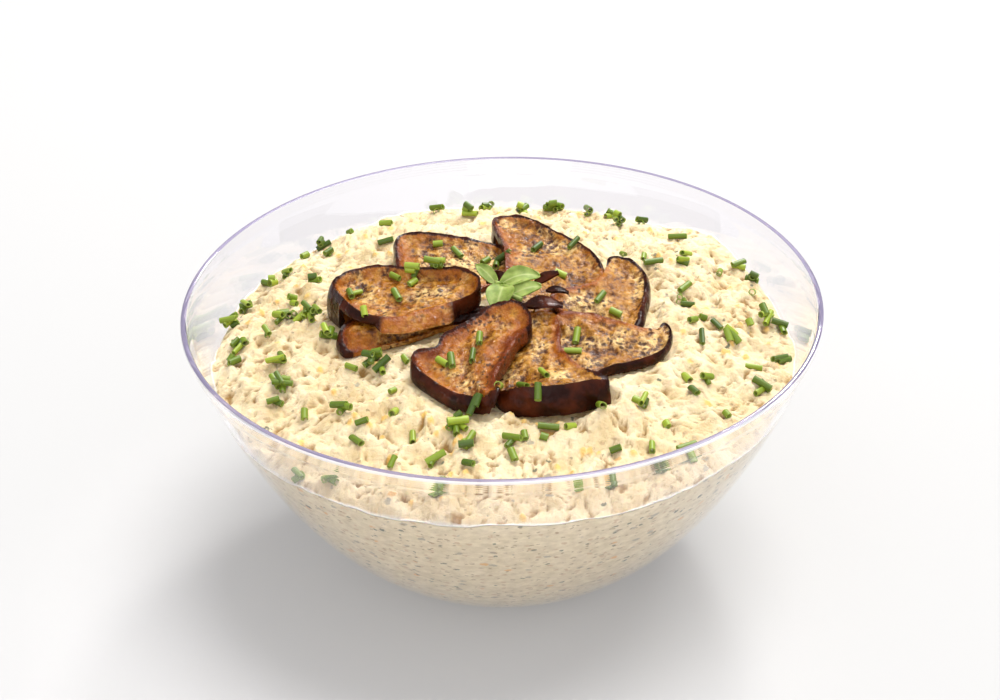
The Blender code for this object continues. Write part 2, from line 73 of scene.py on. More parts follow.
step_level = 115.0                  # the step below the lip
lip_stand = 0.30                    # how far the lip stands out over the wall below it
ring_levels = (116.4, 117.6, 118.8, 119.9)
ring_depth = 0.07
base_curve = [1.6 + (step_level - 2.0) * (step / 40) ** 1.5 for step in range(41)]
bowl_profile = [(57.9, 0.0), (base_radius + 0.6, 0.35), (float(outer_radius(0.9)), 0.95)]
bowl_profile += [(float(outer_radius(level)), level) for level in base_curve]
bowl_profile += [(float(outer_radius(step_level)) + lip_stand, step_level)]
for level in ring_levels:
    bowl_profile += [(float(outer_radius(level + shift)) + lip_stand - depth, level + shift)
                     for shift, depth in ((-0.32, 0.0), (0.0, ring_depth), (0.32, 0.0))]
bowl_profile += [(rim_radius, 121.2), (139.7, 121.7), (139.1, bowl_height), (138.2, bowl_height),
                 (137.6, 121.75), (137.2, 121.2)]
bowl_profile += [(float(inner_radius(level)), level) for level in base_curve[:0:-1] if level > floor_turn]
bowl_profile += [(float(inner_radius(floor_turn)) - inset, level)
                 for inset, level in ((1.2, 3.4), (4.0, 2.7), (8.0, base_thick))]


def fresh_piece(name):
    """Names the primitive that was just added, puts it at the origin and opens its whole mesh for editing."""
    made = bpy.context.object
    made.name = made.data.name = name
    bpy.ops.object.transform_apply(location=True, rotation=True, scale=True)
    bpy.ops.object.mode_set(mode="EDIT")
    bpy.ops.mesh.select_all(action="SELECT")
    return made


bpy.ops.object.select_all(action="DESELECT")
bpy.ops.mesh.primitive_circle_add(vertices=bowl_segments, radius=disc_radius * MM, fill_type="NGON")
bowl = fresh_piece("bowl_clear")
radius, level = disc_radius, 0.0
for next_radius, next_level in bowl_profile:
    bpy.ops.mesh.extrude_region_move(TRANSFORM_OT_translate={"value": (0.0, 0.0, (next_level - level) * MM)})
    growth = next_radius / radius
    bpy.ops.transform.resize(value=(growth, growth, 1.0), center_override=(0.0, 0.0, next_level * MM))
    radius, level = next_radius, next_level
bpy.ops.mesh.select_all(action="SELECT")
bpy.ops.mesh.normals_make_consistent(inside=False)
bpy.ops.object.mode_set(mode="OBJECT")
bpy.ops.object.shade_smooth_by_angle(angle=math.radians(32.0))


def from_hex(code):
    """An sRGB hex colour as linear red, green, blue and alpha."""
    parts = [int(code[start:start + 2], 16) / 255.0 for start in (0, 2, 4)]
    linear = [part / 12.92 if part <= 0.04045 else ((part + 0.055) / 1.055) ** 2.4 for part in parts]
    return (*linear, 1.0)


def set_up(node, settings, links):
    """Gives a node its own values, its sockets' values and a ramp's stops, and joins outputs to its sockets."""
    for key, value in (settings or {}).items():
        if key == "stops":
            stops = node.color_ramp.elements
            for position, code in value[1:-1]:
                stops.new(position)
            for stop, (position, code) in zip(stops, value):
                stop.position = position
                stop.color = from_hex(code)
        elif isinstance(key, str) and key not in node.inputs:
            setattr(node, key, value)
        else:
            node.inputs[key].default_value = value
    for key, source in (links or {}).items():
        node.id_data.links.new(source, node.inputs[key])


def new_material(name, settings):
    """A material with only its output and its Principled shader, which gets the settings."""
    material = bpy.data.materials.new(name)
    material.use_nodes = True
    shader = material.node_tree.nodes["Principled BSDF"]
    set_up(shader, settings, None)
    return material, shader


def add_node(material, kind, settings=None, links=None, output=None):
    """Adds a node and gives back the output of that name, or else the first output that it uses."""
    made = material.node_tree.nodes.new("ShaderNode" + kind)
    set_up(made, settings, links)
    return made.outputs[output] if output else next(socket for socket in made.outputs if socket.enabled)


# Clear polystyrene, moulded against polished steel: sharp, colourless reflections. So thin a wall hardly
# bends the view, so the inner index is set low and the surface's own reflection comes from the coat. The
# lip's top is painted lilac-grey. That is partly the plastic's own tint seen through its depth and partly painted
# light for the light that runs in the wall and gathers there. Its outer edge is painted near-white, a
# painted highlight. Shadows pass through all three.
for name, cast, clarity, gloss in (("Clear polystyrene wall", "FAF8FB", 1.0, 0.9),
                                   ("Clear polystyrene lip", "8F87A2", 0.40, 0.55),
                                   ("Clear polystyrene lip, painted highlight", "FBFAFF", 0.45, 1.0)):
    polystyrene, shader = new_material(name, {
        "Base Color": from_hex(cast), "Roughness": 0.02, "IOR": 1.12, "Transmission Weight": clarity,
        "Coat Weight": gloss, "Coat Roughness": 0.02, "Coat IOR": 1.59})
    in_shadow = add_node(polystyrene, "LightPath", output="Is Shadow Ray")
    see_through = add_node(polystyrene, "BsdfTransparent", {"Color": from_hex("FAF9FB")})
    clear_mix = add_node(polystyrene, "MixShader", links={0: in_shadow, 1: shader.outputs["BSDF"], 2: see_through})
    set_up(polystyrene.node_tree.nodes["Material Output"], None, {"Surface": clear_mix})
    bowl.data.materials.append(polystyrene)
top_level = 121.5                   # faces above this level are the lip's top
edge_level, edge_radius = 120.7, 138.6    # faces beyond both are its outer edge
# The top faces get the lilac-grey line, which is partly tint and partly painted light. The outer edge faces get the
# painted highlight.
for polygon in bowl.data.polygons:
    on_top = polygon.center.z > top_level * MM
    on_painted_highlight = polygon.center.z > edge_level * MM and math.hypot(*polygon.center.xy) > edge_radius * MM
    polygon.material_index = 1 if on_top else 2 if on_painted_highlight else 0
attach(bowl, "root")
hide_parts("bowl")


# Aubergine slices, laid out
# Eight slices of fried aubergine lie on the dip as a pinwheel, each partly on the ones before it. Their
# outlines are set first, because the dip is pressed flat beneath them.

# Each outline runs through (x, y, height of the edge, skin, browning). Skin is 1 where the edge is peel and
# 0 where it is cut flesh. "thick" is the slice's thickness, "lean" how far the foot of its peel stands out.
slices = {
    "aubergine_slice_back_left": dict(thick=11, lean=1, fried=0.0, outline=[
        (-46, 68, 118, 1, .3), (-26, 67, 118, 1, .2), (-8, 63.5, 116, 1, .2), (2, 61, 113, 1, .2), (5, 48, 111.8, 0, .5),
        (1, 34, 111.8, 0, .5), (-12, 25, 112, 0, .8), (-32, 25, 112.5, 0, .9), (-45, 33, 115, 1, .9),
        (-48, 50, 118, 1, .9)]),
    "aubergine_slice_left_under": dict(thick=10, lean=1, flat=117, fried=0.08, peel_from=-24, outline=[
        (-70, -8, 114, 1, .9), (-68, -21, 110, 1, .8), (-60, -20.5, 109, 0, .2), (-41, -15.8, 109.5, 0, .15),
        (-22, -6.5, 111, 0, .2), (-2.5, -5, 112.5, 1, .8), (-6, 6, 114, 1, .5), (-34, 4, 115, 0, .5),
        (-56, 2, 115, 1, .7)]),
    "aubergine_slice_left": dict(thick=17, lean=3, fried=0.05, dish=2.6, flare=6.0, outline=[
        (-75, 17, 122, 1, .5), (-69, 26, 122.5, 1, .2), (-55, 28.5, 124, 1, .2), (-37, 23.5, 125, 1, .2),
        (-19, 19.5, 127, 1, .3), (-9.6, 8, 128, 1, .3), (-13, -3, 126, 1, .5), (-31, -10, 123.5, 0, .3),
        (-45, -15, 122.5, 0, .3), (-60, -10, 122, 1, .8), (-70, 4, 121.5, 1, .7)]),
    "aubergine_slice_back": dict(thick=11, lean=2, fried=-0.08, outline=[
        (-3.6, 77, 119, 1, .9), (6, 80.5, 120, 1, .3), (15, 77, 120, 1, .1), (28, 65.5, 118, 1, .1),
        (38, 56, 117, 1, .1), (44, 45, 116, 1, .2), (46.5, 33, 113, 0, .5), (41, 20, 111.5, 0, .6), (28, 9, 112, 0, .6),
        (12, -3, 117, 0, .7), (0, 6, 119, 0, .8), (2, 32, 119.5, 0, 1), (1.5, 54, 118.5, .4, 1)]),
    "aubergine_slice_right": dict(thick=10, lean=1.5, fried=-0.22, outline=[
        (49.5, 40.5, 118.5, 1, .2), (57.5, 39, 119, 1, .1), (63.5, 31, 118, 1, 0), (65, 21, 116.5, 1, 0),
        (62.5, 6, 114.5, 1, .1), (57.5, -10, 111.5, 1, .2), (47, -12, 110.7, 1, .3), (33, -9, 111.2, 0, .5),
        (25, -2, 115, 0, .9), (22.5, 10.5, 119, 0, 1), (37, 17, 118.5, 0, .6), (46, 28, 118, 0, .3)]),
    "aubergine_slice_front_right": dict(thick=8, lean=-1.5, fried=-0.24, outline=[
        (23, -8, 118, 0, .8), (38, -6, 117.5, 0, .9), (53, -13.5, 116.5, 0, .6), (65, -17, 115, 0, .3),
        (70.5, -12.5, 115, 1, .1), (73, -19, 114, 1, 0), (69.5, -29.5, 112.5, 1, 0), (60.5, -37, 112.5, 1, .1),
        (47, -43, 113, 1, .2), (36, -46.5, 112, 1, .4), (27, -36, 111, 0, .9), (21, -20, 112, 0, .9)]),
    "aubergine_slice_front": dict(thick=13.5, lean=2.5, fried=-0.22, outline=[
        (12.5, -10, 121, 0, .3), (22.5, -11.5, 120.5, 0, .4), (24.4, -24, 119, 0, .9), (24.5, -34, 118, 0, .9),
        (31, -49, 118, 0, .6), (38.5, -59.5, 120, 1, .1), (43.5, -61.5, 118, 1, 0), (36, -66.5, 120.5, 1, 0),
        (21, -70.5, 121, 1, .05), (8, -69.5, 119.5, 1, .1), (-3, -63, 114.5, 1, .3), (-5, -48, 113, 0, .5),
        (-2, -30, 114, 0, .5), (5, -16, 118, 0, .3)]),
    "aubergine_slice_front_left": dict(thick=7.5, lean=2, fried=0.12, dish=1.4, outline=[
        (-37.5, -35, 117, 1, .8), (-28.5, -32, 118, 1, .8), (-25.5, -25, 119, 1, .6), (-15, -19, 122, .6, .6),
        (-4, -12, 126, 1, .4), (8, -13.5, 128, 1, .3), (12.6, -24, 124, 1, .8), (7, -32, 123, 0, 1),
        (2, -45, 121.5, 0, 1), (-3.5, -60, 119.5, 0, .9), (-3, -71, 117, 1, .5), (-19, -64.5, 114, 1, .3),
        (-32, -51, 114, 1, .4), (-38, -42, 115.5, 1, .6)]),
}
pinwheel_centre = (5.0, 5.0)
free_gap = 0.5                      # gap between the dip and what lies on it
bearing_reach = 7.5                 # a slice stays above another slice's edge that lies this near below it
bearing_gap = 1.1
least_thick = 2.2
dip_middle = 110.5
dome_power = 2.4


def smooth_step(value, low, high):
    """0 below low, 1 above high, with soft ends."""
    share = np.clip((value - low) / (high - low), 0.0, 1.0)
    return share * share * (3.0 - 2.0 * share)


def hills(x, y, spacing, seed):
    """A smooth random field from -1 to 1, whose hills lie about one spacing apart."""
    size = 64
    lattice = np.random.RandomState(seed).uniform(-1.0, 1.0, (size, size))
    across = np.asarray(x) / spacing + size / 2
    along = np.asarray(y) / spacing + size / 2
    column = np.floor(across).astype(int)
    row = np.floor(along).astype(int)
    right = smooth_step(across - column, 0.0, 1.0)
    up = smooth_step(along - row, 0.0, 1.0)
    near = lattice[row % size, column % size] * (1 - right) + lattice[row % size, (column + 1) % size] * right
    far = (lattice[(row + 1) % size, column % size] * (1 - right)
           + lattice[(row + 1) % size, (column + 1) % size] * right)
    return near * (1 - up) + far * up


def closed_curve(points, count):
    """A smooth closed curve through the points, cut into equal steps seen from above."""
    points = np.array(points, dtype=float)
    before, after, beyond = (np.roll(points, shift, axis=0) for shift in (1, -1, -2))
    share = np.linspace(0.0, 1.0, 24, endpoint=False)[:, None, None]
    curve = 0.5 * (2 * points + (after - before) * share
                   + (2 * before - 5 * points + 4 * after - beyond) * share ** 2
                   + (3 * points - before - 3 * after + beyond) * share ** 3)
    curve = curve.transpose(1, 0, 2).reshape(-1, points.shape[1])
    loop = np.vstack([curve, curve[:1]])
    travelled = np.concatenate([[0.0], np.cumsum(np.hypot(*np.diff(loop[:, :2], axis=0).T))])
    stops = np.linspace(0.0, travelled[-1], count, endpoint=False)
    return np.stack([np.interp(stops, travelled, loop[:, axis]) for axis in range(points.shape[1])], axis=1)


def inside_distance(outline, x, y):
    """Distance to the outline in the plan view, positive inside it."""
    nearest = np.full(np.shape(x), 1e9)
    crossings = np.zeros(np.shape(x), dtype=int)
    for (ax, ay), (bx, by) in zip(outline[:, :2], np.roll(outline[:, :2], -1, axis=0)):
        share = np.clip(((x - ax) * (bx - ax) + (y - ay) * (by - ay)) / ((bx - ax) ** 2 + (by - ay) ** 2), 0, 1)
        nearest = np.minimum(nearest, np.hypot(x - ax - share * (bx - ax), y - ay - share * (by - ay)))
        straddles = (ay > y) != (by > y)
        crossings += straddles & (x < ax + (y - ay) * (bx - ax) / (by - ay if by != ay else 1.0))
    return np.where(crossings % 2 == 1, nearest, -nearest)


def from_edge(curve, x, y, column):
    """A value of the outline, such as its height or its skin, carried inward from the nearest edges."""
    total, weights = 0.0, 0.0
    for point in curve:
        weight = 1.0 / (np.hypot(x - point[0], y - point[1]) ** 3 + 0.01)
        total = total + weight * point[column]
        weights = weights + weight
    return total / weights


def slice_top(piece, x, y):
    """Height of a slice's top: the edge heights carried inward, the flesh sunk below its rim."""
    height = from_edge(piece["curve"], x, y, 2)
    within = inside_distance(piece["curve"], x, y)
    if "flat" in piece:
        return height + (piece["flat"] - height) * smooth_step(within, 0.0, 6.0)
    sunk = 1.2 * smooth_step(within, 0.5, 5.0)
    return height - sunk + 0.3 * hills(x, y, 9.0, 11) * smooth_step(within, 0.0, 3.0)


def contact_level(azimuth):
    """Height at which the dip meets the wall: lower at the front, with one swell at the back right."""
    swell = 4.0 * np.exp(-(((azimuth - 0.73 + math.pi) % (2 * math.pi) - math.pi) / 0.2) ** 2)
    wave = 0.9 * np.sin(5 * azimuth + 1.0) + 0.7 * np.sin(9 * azimuth)
    return bowl_height - 26.5 + 3.8 * np.sin(azimuth) + 1.2 * np.cos(azimuth) + swell - wave


def dome(x, y):
    """Smooth height of the dip."""
    contact = contact_level(np.arctan2(y, x))
    share = np.hypot(x, y) / (inner_radius(contact) - free_gap)
    return dip_middle - (dip_middle - contact) * share ** dome_power


grid_step = 1.0
grid_x, grid_y = np.meshgrid(np.arange(-95.0, 96.0, grid_step), np.arange(-90.0, 96.0, grid_step))
covered = np.full(grid_x.shape, -1e9)
nearest_slice = np.full(grid_x.shape, -1e9)


def sample(field, x, y):
    """The field between its grid points."""
    across = (np.asarray(x) - grid_x[0, 0]) / grid_step
    along = (np.asarray(y) - grid_y[0, 0]) / grid_step
    column = np.clip(np.floor(across).astype(int), 0, field.shape[1] - 2)
    row = np.clip(np.floor(along).astype(int), 0, field.shape[0] - 2)
    right, up = across - column, along - row
    near = field[row, column] * (1 - right) + field[row, column + 1] * right
    far = field[row + 1, column] * (1 - right) + field[row + 1, column + 1] * right
    return near * (1 - up) + far * up


for piece in slices.values():
    piece["curve"] = closed_curve(piece["outline"], 64)
    within = inside_distance(piece["curve"], grid_x, grid_y)
    piece["support"] = np.maximum(dome(grid_x, grid_y) + free_gap, covered + bearing_gap)
    top = np.maximum(slice_top(piece, grid_x, grid_y), piece["support"] + least_thick)
    crest = np.maximum(top, piece.get("flat", 0.0))
    covered = np.where(within > -bearing_reach, np.maximum(covered, crest), covered)
    nearest_slice = np.maximum(nearest_slice, within + max(piece["lean"], 0.0))


# Dip
# Mashed aubergine and tahini, heaped with a spoon, so that its top is torn into curds of a few millimetres.
# It fills the bowl up to about 26 mm below the rim, and along the clear wall it is pressed smooth.

into_wall = 0.3                     # the side reaches into the clear wall, so that no air shows between them
# Where the mash is pushed up against the slices: (x, y, reach, rise)
banks = [(41, -75, 8.5, 6.5), (51, -68, 6, 3.5), (0, -76, 6, 3.0), (74, -38, 7, 2.0), (-48, -28, 9, 1.5)]
# Where the amber grains show: (x, y, spread, how many)
grain_groups = [
    (-45, -70, 22, 26), (-95, 30, 14, 12), (-60, 85, 16, 14), (0, 0, 75, 60), (95, -10, 18, 14), (40, -95, 22, 12),
    (70, 70, 18, 10), (-30, -105, 14, 8),
]
dip_cells = 270
side_rings = 16


def curds(x, y, spacing, seed):
    """Rounded lumps packed side by side: 1 on the tallest ones, 0 in the creases between them."""
    size = 64
    places = np.random.RandomState(seed).uniform(0.0, 1.0, (size, size, 3))
    across = x / spacing + size / 2
    along = y / spacing + size / 2
    column = np.floor(across).astype(int)
    row = np.floor(along).astype(int)
    height = np.zeros(np.shape(x))
    for row_step in (-1, 0, 1):
        for column_step in (-1, 0, 1):
            place = places[(row + row_step) % size, (column + column_step) % size]
            gap_x = column + column_step + place[..., 0] - across
            gap_y = row + row_step + place[..., 1] - along
            reach = 0.55 + 0.4 * place[..., 2]
            lump = np.sqrt(np.clip(1.0 - (gap_x ** 2 + gap_y ** 2) / reach ** 2, 0.0, 1.0))
            height = np.maximum(height, lump * (0.4 + 0.6 * place[..., 2]))
    return height


def dip_height(x, y):
    """Height of the dip's top: the dome, spooned heaps, crags and curds, pressed flat under the slices. Also how deep
    in a crease between curds each point lies, which the colour darkens as painted shade.
    """
    clear = smooth_step(-sample(nearest_slice, x, y), 0.5, 8.0)
    clear_of_bits = smooth_step(-sample(nearest_slice, x, y), 0.3, 3.5)
    beside = smooth_step(-sample(nearest_slice, x, y), 0.2, 1.6)
    to_wall = 1.0 - smooth_step(np.hypot(x, y), 118.0, 129.0)
    heaps = 1.6 * hills(x, y, 24.0, 3)
    crags = 2.1 * (1.0 - 2.2 * np.abs(hills(x, y, 13.0, 4))) + 1.5 * hills(x, y, 8.0, 5)
    bent_x = x + 1.6 * hills(x, y, 5.0, 31) + 0.7 * hills(x, y, 2.4, 32)
    bent_y = y + 1.6 * hills(x, y, 5.0, 33) + 0.7 * hills(x, y, 2.4, 34)
    torn = 1.9 * curds(bent_x, bent_y, 4.8, 6) + 1.8 * curds(bent_x, bent_y, 2.6, 7)
    torn += 1.0 * (0.5 - np.abs(hills(x, y, 2.4, 9))) + 0.35 * hills(x, y, 1.5, 10)
    banked = sum(rise * np.exp(-((x - bank_x) ** 2 + (y - bank_y) ** 2) / reach ** 2)
                 for bank_x, bank_y, reach, rise in banks)
    rough = ((heaps + crags) * clear + (torn - 1.2) * clear_of_bits + banked * beside) * (0.4 + 0.6 * to_wall)
    return dome(x, y) + rough, 1.0 - smooth_step(torn, 0.5, 2.1)


def grains(x, y):
    """Soft round grains that stand out of the mash, some 3 mm wide: 1 at the middle of each one."""
    picks = random.Random(17)
    height = np.zeros(np.shape(x))
    for middle_x, middle_y, spread, number in grain_groups:
        for _ in range(number):
            grain_x, grain_y = picks.gauss(middle_x, spread), picks.gauss(middle_y, spread)
            reach = picks.uniform(1.4, 2.1)
            share = ((x - grain_x) ** 2 + (y - grain_y) ** 2) / reach ** 2
            height = np.maximum(height, np.clip(1.0 - share, 0.0, 1.0))
    return height


bpy.ops.object.select_all(action="DESELECT")
bpy.ops.mesh.primitive_grid_add(x_subdivisions=dip_cells, y_subdivisions=dip_cells, size=2.0)
dip = fresh_piece("dip_baba_ganoush")
bpy.ops.mesh.select_all(action="DESELECT")
bpy.ops.mesh.select_non_manifold()
for _ in range(side_rings):
    bpy.ops.mesh.extrude_region_move(TRANSFORM_OT_translate={"value": (0.0, 0.0, -1.0)})
bpy.ops.mesh.edge_face_add()
bpy.ops.mesh.select_all(action="SELECT")
bpy.ops.mesh.normals_make_consistent(inside=False)
bpy.ops.object.mode_set(mode="OBJECT")

plan = np.empty(len(dip.data.vertices) * 3)
dip.data.vertices.foreach_get("co", plan)
plan = plan.reshape(-1, 3)
across, along = plan[:, 0], plan[:, 1]
size = np.maximum(np.abs(across), np.abs(along))
wide = np.abs(across) >= np.abs(along)
safe_across = np.where(np.abs(across) > 1e-9, across, 1.0)
safe_along = np.where(np.abs(along) > 1e-9, along, 1.0)
angle = np.where(wide, along / safe_across, across / safe_along) * math.pi / 4
x = np.where(wide, across * np.cos(angle), along * np.sin(angle))
y = np.where(wide, across * np.sin(angle), along * np.cos(angle))
azimuth = np.arctan2(y, x)
along_wall = azimuth * 128.0
contact = contact_level(azimuth) + 1.5 * hills(along_wall, 0.0, 17.0, 12) + 0.6 * hills(along_wall, 0.0, 6.0, 13)
edge_radius = inner_radius(contact) + into_wall
plan_x, plan_y = x * edge_radius, y * edge_radius
ring_number = np.round(-plan[:, 2])
down = np.clip((ring_number - 2.0) / (side_rings - 2.0), 0.0, 1.0) ** 1.25
floor_level = base_thick - into_wall
edge_depth = np.clip(ring_number, 0.0, 2.0) * 0.5
side_level = contact - edge_depth + (5.0 - contact + edge_depth) * np.clip(down / 0.93, 0.0, 1.0)
side_level = np.where(down >= 0.99, floor_level, side_level)
side_radius = inner_radius(side_level) + into_wall
side_radius = np.where(down >= 0.99, float(inner_radius(4.5)) - 3.0, side_radius)
blend = smooth_step(size, 0.985, 1.0)
rough_level, painted_crease_shade = dip_height(plan_x, plan_y)
grain_share = grains(plan_x, plan_y)
top_level = (rough_level + 1.1 * np.sqrt(grain_share)) * (1.0 - blend) + contact * blend
on_side = plan[:, 2] < -0.5
dip_points = np.stack([
    np.where(on_side, np.cos(azimuth) * side_radius, plan_x),
    np.where(on_side, np.sin(azimuth) * side_radius, plan_y),
    np.where(on_side, side_level, top_level)], axis=1) * MM
dip.data.vertices.foreach_set("co", dip_points.ravel())
dip.data.update()
bpy.ops.object.shade_smooth_by_angle(angle=math.radians(60.0))


def add_values(made, label, values):
    """Keeps one number for each point of the mesh, for its material."""
    kept = made.data.attributes.new(label, "FLOAT", "POINT")
    kept.data.foreach_set("value", np.asarray(values, dtype=float))


add_values(dip, "pressed", ring_number > 1.5)
# Painted shade: hollow is 1 deep in the creases between curds, where the colour is darkened.
add_values(dip, "hollow", np.where(on_side, 0.0, painted_crease_shade))
add_values(dip, "grain", np.where(on_side, 0.0, grain_share))
# The top's outermost points and the two rings below them are coloured near-white, a thin line along the wall.
add_values(dip, "smear", (size > 0.9999) & (ring_number < 1.5))

# Mashed aubergine with tahini: a moist, opaque cream that light enters a millimetre or two deep. Bits of
# charred skin, herbs and soft amber grains are stirred in. The creases between its curds are painted darker
# brown, as painted shade. Through the wall it looks smoother and greyer, and the bits are smeared level along
# it. A near-white line runs where its top meets the wall.
mash, shader = new_material("Aubergine and tahini mash", {
    "Roughness": 0.45, "IOR": 1.42, "Subsurface Weight": 0.25, "Subsurface Radius": (1.0, 0.6, 0.25),
    "Subsurface Scale": 0.002})
place = add_node(mash, "TexCoord", output="Object")
side, hollow, grain, smear = [add_node(mash, "Attribute", {"attribute_name": label}, output="Fac")
                              for label in ("pressed", "hollow", "grain", "smear")]
cream_noise = add_node(mash, "TexNoise", {"Scale": 85.0, "Detail": 5.0}, {"Vector": place})
cream = add_node(mash, "ValToRGB", {"stops": ((0.36, "E2C998"), (0.62, "F1DEB6"))}, {"Fac": cream_noise})
# Painted shade: the creases between curds are darkened towards brown.
crease = add_node(mash, "Math", {"operation": "MULTIPLY", 1: 0.95}, {0: hollow})
cream_with_crease_shade = add_node(mash, "Mix", {"data_type": "RGBA", 7: from_hex("9C7230")}, {"Factor": crease, 6: cream})
level_smear = add_node(mash, "Mapping", {"Scale": (1.0, 1.0, 1.7)}, {"Vector": place})
side_noise = add_node(mash, "TexNoise", {"Scale": 210.0, "Detail": 5.0, "Roughness": 0.6}, {"Vector": level_smear})
side_cream = add_node(mash, "ValToRGB", {"stops": ((0.3, "CBBB99"), (0.68, "E8DABA"))}, {"Fac": side_noise})
color = add_node(mash, "Mix", {"data_type": "RGBA"}, {"Factor": side, 6: cream_with_crease_shade, 7: side_cream})

# Each kind of fleck: colour, cells per metre, radius in cells, how rare on top and along the wall, strength
flecks = (
    ("DBA45C", 110.0, 0.24, 0.97, 0.74, 0.75),
    ("BE9C76", 200.0, 0.32, 0.84, 0.46, 0.58),
    ("938E80", 140.0, 0.27, 0.94, 0.70, 0.65),
    ("97805E", 300.0, 0.31, 0.92, 0.50, 0.62),
    ("5C6552", 185.0, 0.23, 0.95, 0.78, 0.80),
    ("41514A", 100.0, 0.18, 0.97, 0.87, 0.85),
)
warp_noise = add_node(mash, "TexNoise", {"Scale": 420.0, "Detail": 3.0}, {"Vector": place}, output="Color")
warp = add_node(mash, "VectorMath", {"operation": "MULTIPLY_ADD", 1: (0.0036,) * 3, 2: (-0.0018,) * 3},
                {0: warp_noise})
warped = add_node(mash, "VectorMath", {"operation": "ADD"}, {0: level_smear, 1: warp})
for number, (code, density, reach, rare_top, rare_side, strength) in enumerate(flecks):
    shifted = add_node(mash, "Mapping", {"Location": (0.37 * number, 0.11 * number, 0.0)}, {"Vector": warped})
    distance = add_node(mash, "TexVoronoi", {"Scale": density}, {"Vector": shifted}, output="Distance")
    chance = add_node(mash, "SeparateColor", links={"Color": distance.node.outputs["Color"]})
    rare = add_node(mash, "MapRange", {3: rare_top, 4: rare_side}, {0: side})
    chosen = add_node(mash, "Math", {"operation": "GREATER_THAN"}, {0: chance, 1: rare})
    near = add_node(mash, "MapRange", {1: reach, 2: reach * 0.7, 3: 0.0, 4: strength}, {0: distance})
    spot = add_node(mash, "Math", {"operation": "MULTIPLY"}, {0: chosen, 1: near})
    color = add_node(mash, "Mix", {"data_type": "RGBA", 7: from_hex(code)}, {"Factor": spot, 6: color})
amber = add_node(mash, "MapRange", {1: 0.05, 2: 0.75, 3: 0.0, 4: 0.8}, {0: grain})
# The grains are amber, and the thin line along the wall is coloured near-white.
for share, code in ((amber, "F4C566"), (smear, "FFFBF0")):
    color = add_node(mash, "Mix", {"data_type": "RGBA", 7: from_hex(code)}, {"Factor": share, 6: color})
fine = add_node(mash, "TexNoise", {"Scale": 480.0, "Detail": 6.0, "Roughness": 0.7}, {"Vector": place})
open_top = add_node(mash, "Math", {"operation": "SUBTRACT", 0: 1.0}, {1: side})
relief = add_node(mash, "Math", {"operation": "MULTIPLY"}, {0: fine, 1: open_top})
bump = add_node(mash, "Bump", {"Strength": 1.0, "Distance": 0.0019}, {"Height": relief})
set_up(shader, None, {"Base Color": color, "Normal": bump})
dip.data.materials.append(mash)
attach(dip, "root")
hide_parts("dip")


# Fried aubergine slices
# Each slice is cut 8 to 17 mm thick and fried in oil. The flesh shrinks between its ring of peel, which
# stays a little proud of it and ruffles, and the cut edges turn red-brown.

edge_points = 200
edge_margin = 0.55                  # no point of the flesh lies nearer to the edge
flesh_spacing = 0.85
flesh_jitter = 0.16
flesh_reach = 110.0                 # the points are laid this far round the bowl's middle
slice_reach = 60.0                  # and each slice takes its own from this far round its middle
wall_rings = 7


def jittered_points(spacing, jitter, seed, reach):
    """Points of a loose triangular grid round the origin."""
    rows = int(reach / (spacing * math.sqrt(0.75))) + 1
    columns = int(reach / spacing) + 1
    column, row = np.meshgrid(np.arange(-columns, columns + 1), np.arange(-rows, rows + 1))
    shift = np.random.RandomState(seed).uniform(-jitter, jitter, (2,) + column.shape)
    x = (column + 0.5 * (row % 2)) * spacing + shift[0]
    y = row * spacing * math.sqrt(0.75) + shift[1]
    return x.ravel(), y.ravel()


def add_mesh(name, vertices, faces):
    """A smooth mesh object from vertices in millimetres, with its faces turned outward."""
    mesh = bpy.data.meshes.new(name)
    mesh.from_pydata([tuple(vertex) for vertex in np.asarray(vertices, dtype=float) * MM], [], faces)
    made = bpy.data.objects.new(name, mesh)
    bpy.context.scene.collection.objects.link(made)
    bpy.ops.object.select_all(action="DESELECT")
    made.select_set(True)
    bpy.context.view_layer.objects.active = made
    bpy.ops.object.mode_set(mode="EDIT")
    bpy.ops.mesh.select_all(action="SELECT")
    bpy.ops.mesh.normals_make_consistent(inside=False)
    bpy.ops.object.mode_set(mode="OBJECT")
    bpy.ops.object.shade_smooth_by_angle(angle=math.radians(70.0))
    return made


# Aubergine flesh fried in oil: golden to tan, with a darker mottle that is deeper in its dents, where shade is
# painted in, with dark seed marks and red-brown edges. It is soaked with oil, so its high spots shine.
flesh, shader = new_material("Fried aubergine flesh", {
    "IOR": 1.47, "Specular IOR Level": 0.28, "Subsurface Weight": 0.06, "Subsurface Radius": (1.0, 0.45, 0.15),
    "Subsurface Scale": 0.0015})
place = add_node(flesh, "TexCoord", output="Object")
skin, fry, raised = [add_node(flesh, "Attribute", {"attribute_name": label}, output="Fac")
                     for label in ("skin", "fry", "raised")]
pale_noise = add_node(flesh, "TexNoise", {"Scale": 75.0, "Detail": 5.0, "Roughness": 0.6}, {"Vector": place})
color = add_node(flesh, "ValToRGB", {"stops": ((0.38, "9A651B"), (0.5, "B37F31"), (0.62, "DBB878"))},
                 {"Fac": pale_noise})
mottle = add_node(flesh, "TexNoise", {"Scale": 330.0, "Detail": 7.0, "Roughness": 0.7}, {"Vector": place})
# Painted shade: the mottle is pushed darker where the folds of the flesh lie low.
dent = add_node(flesh, "Math", {"operation": "MULTIPLY_ADD", 1: 0.20}, {0: raised, 2: mottle})
fry_noise = add_node(flesh, "TexNoise", {"Scale": 170.0, "Detail": 6.0, "Roughness": 0.6}, {"Vector": place})
fry_push = add_node(flesh, "Math", {"operation": "MULTIPLY_ADD", 1: 1.3, 2: -0.65}, {0: fry_noise})
fry_sum = add_node(flesh, "Math", {"operation": "ADD"}, {0: fry, 1: fry_push})
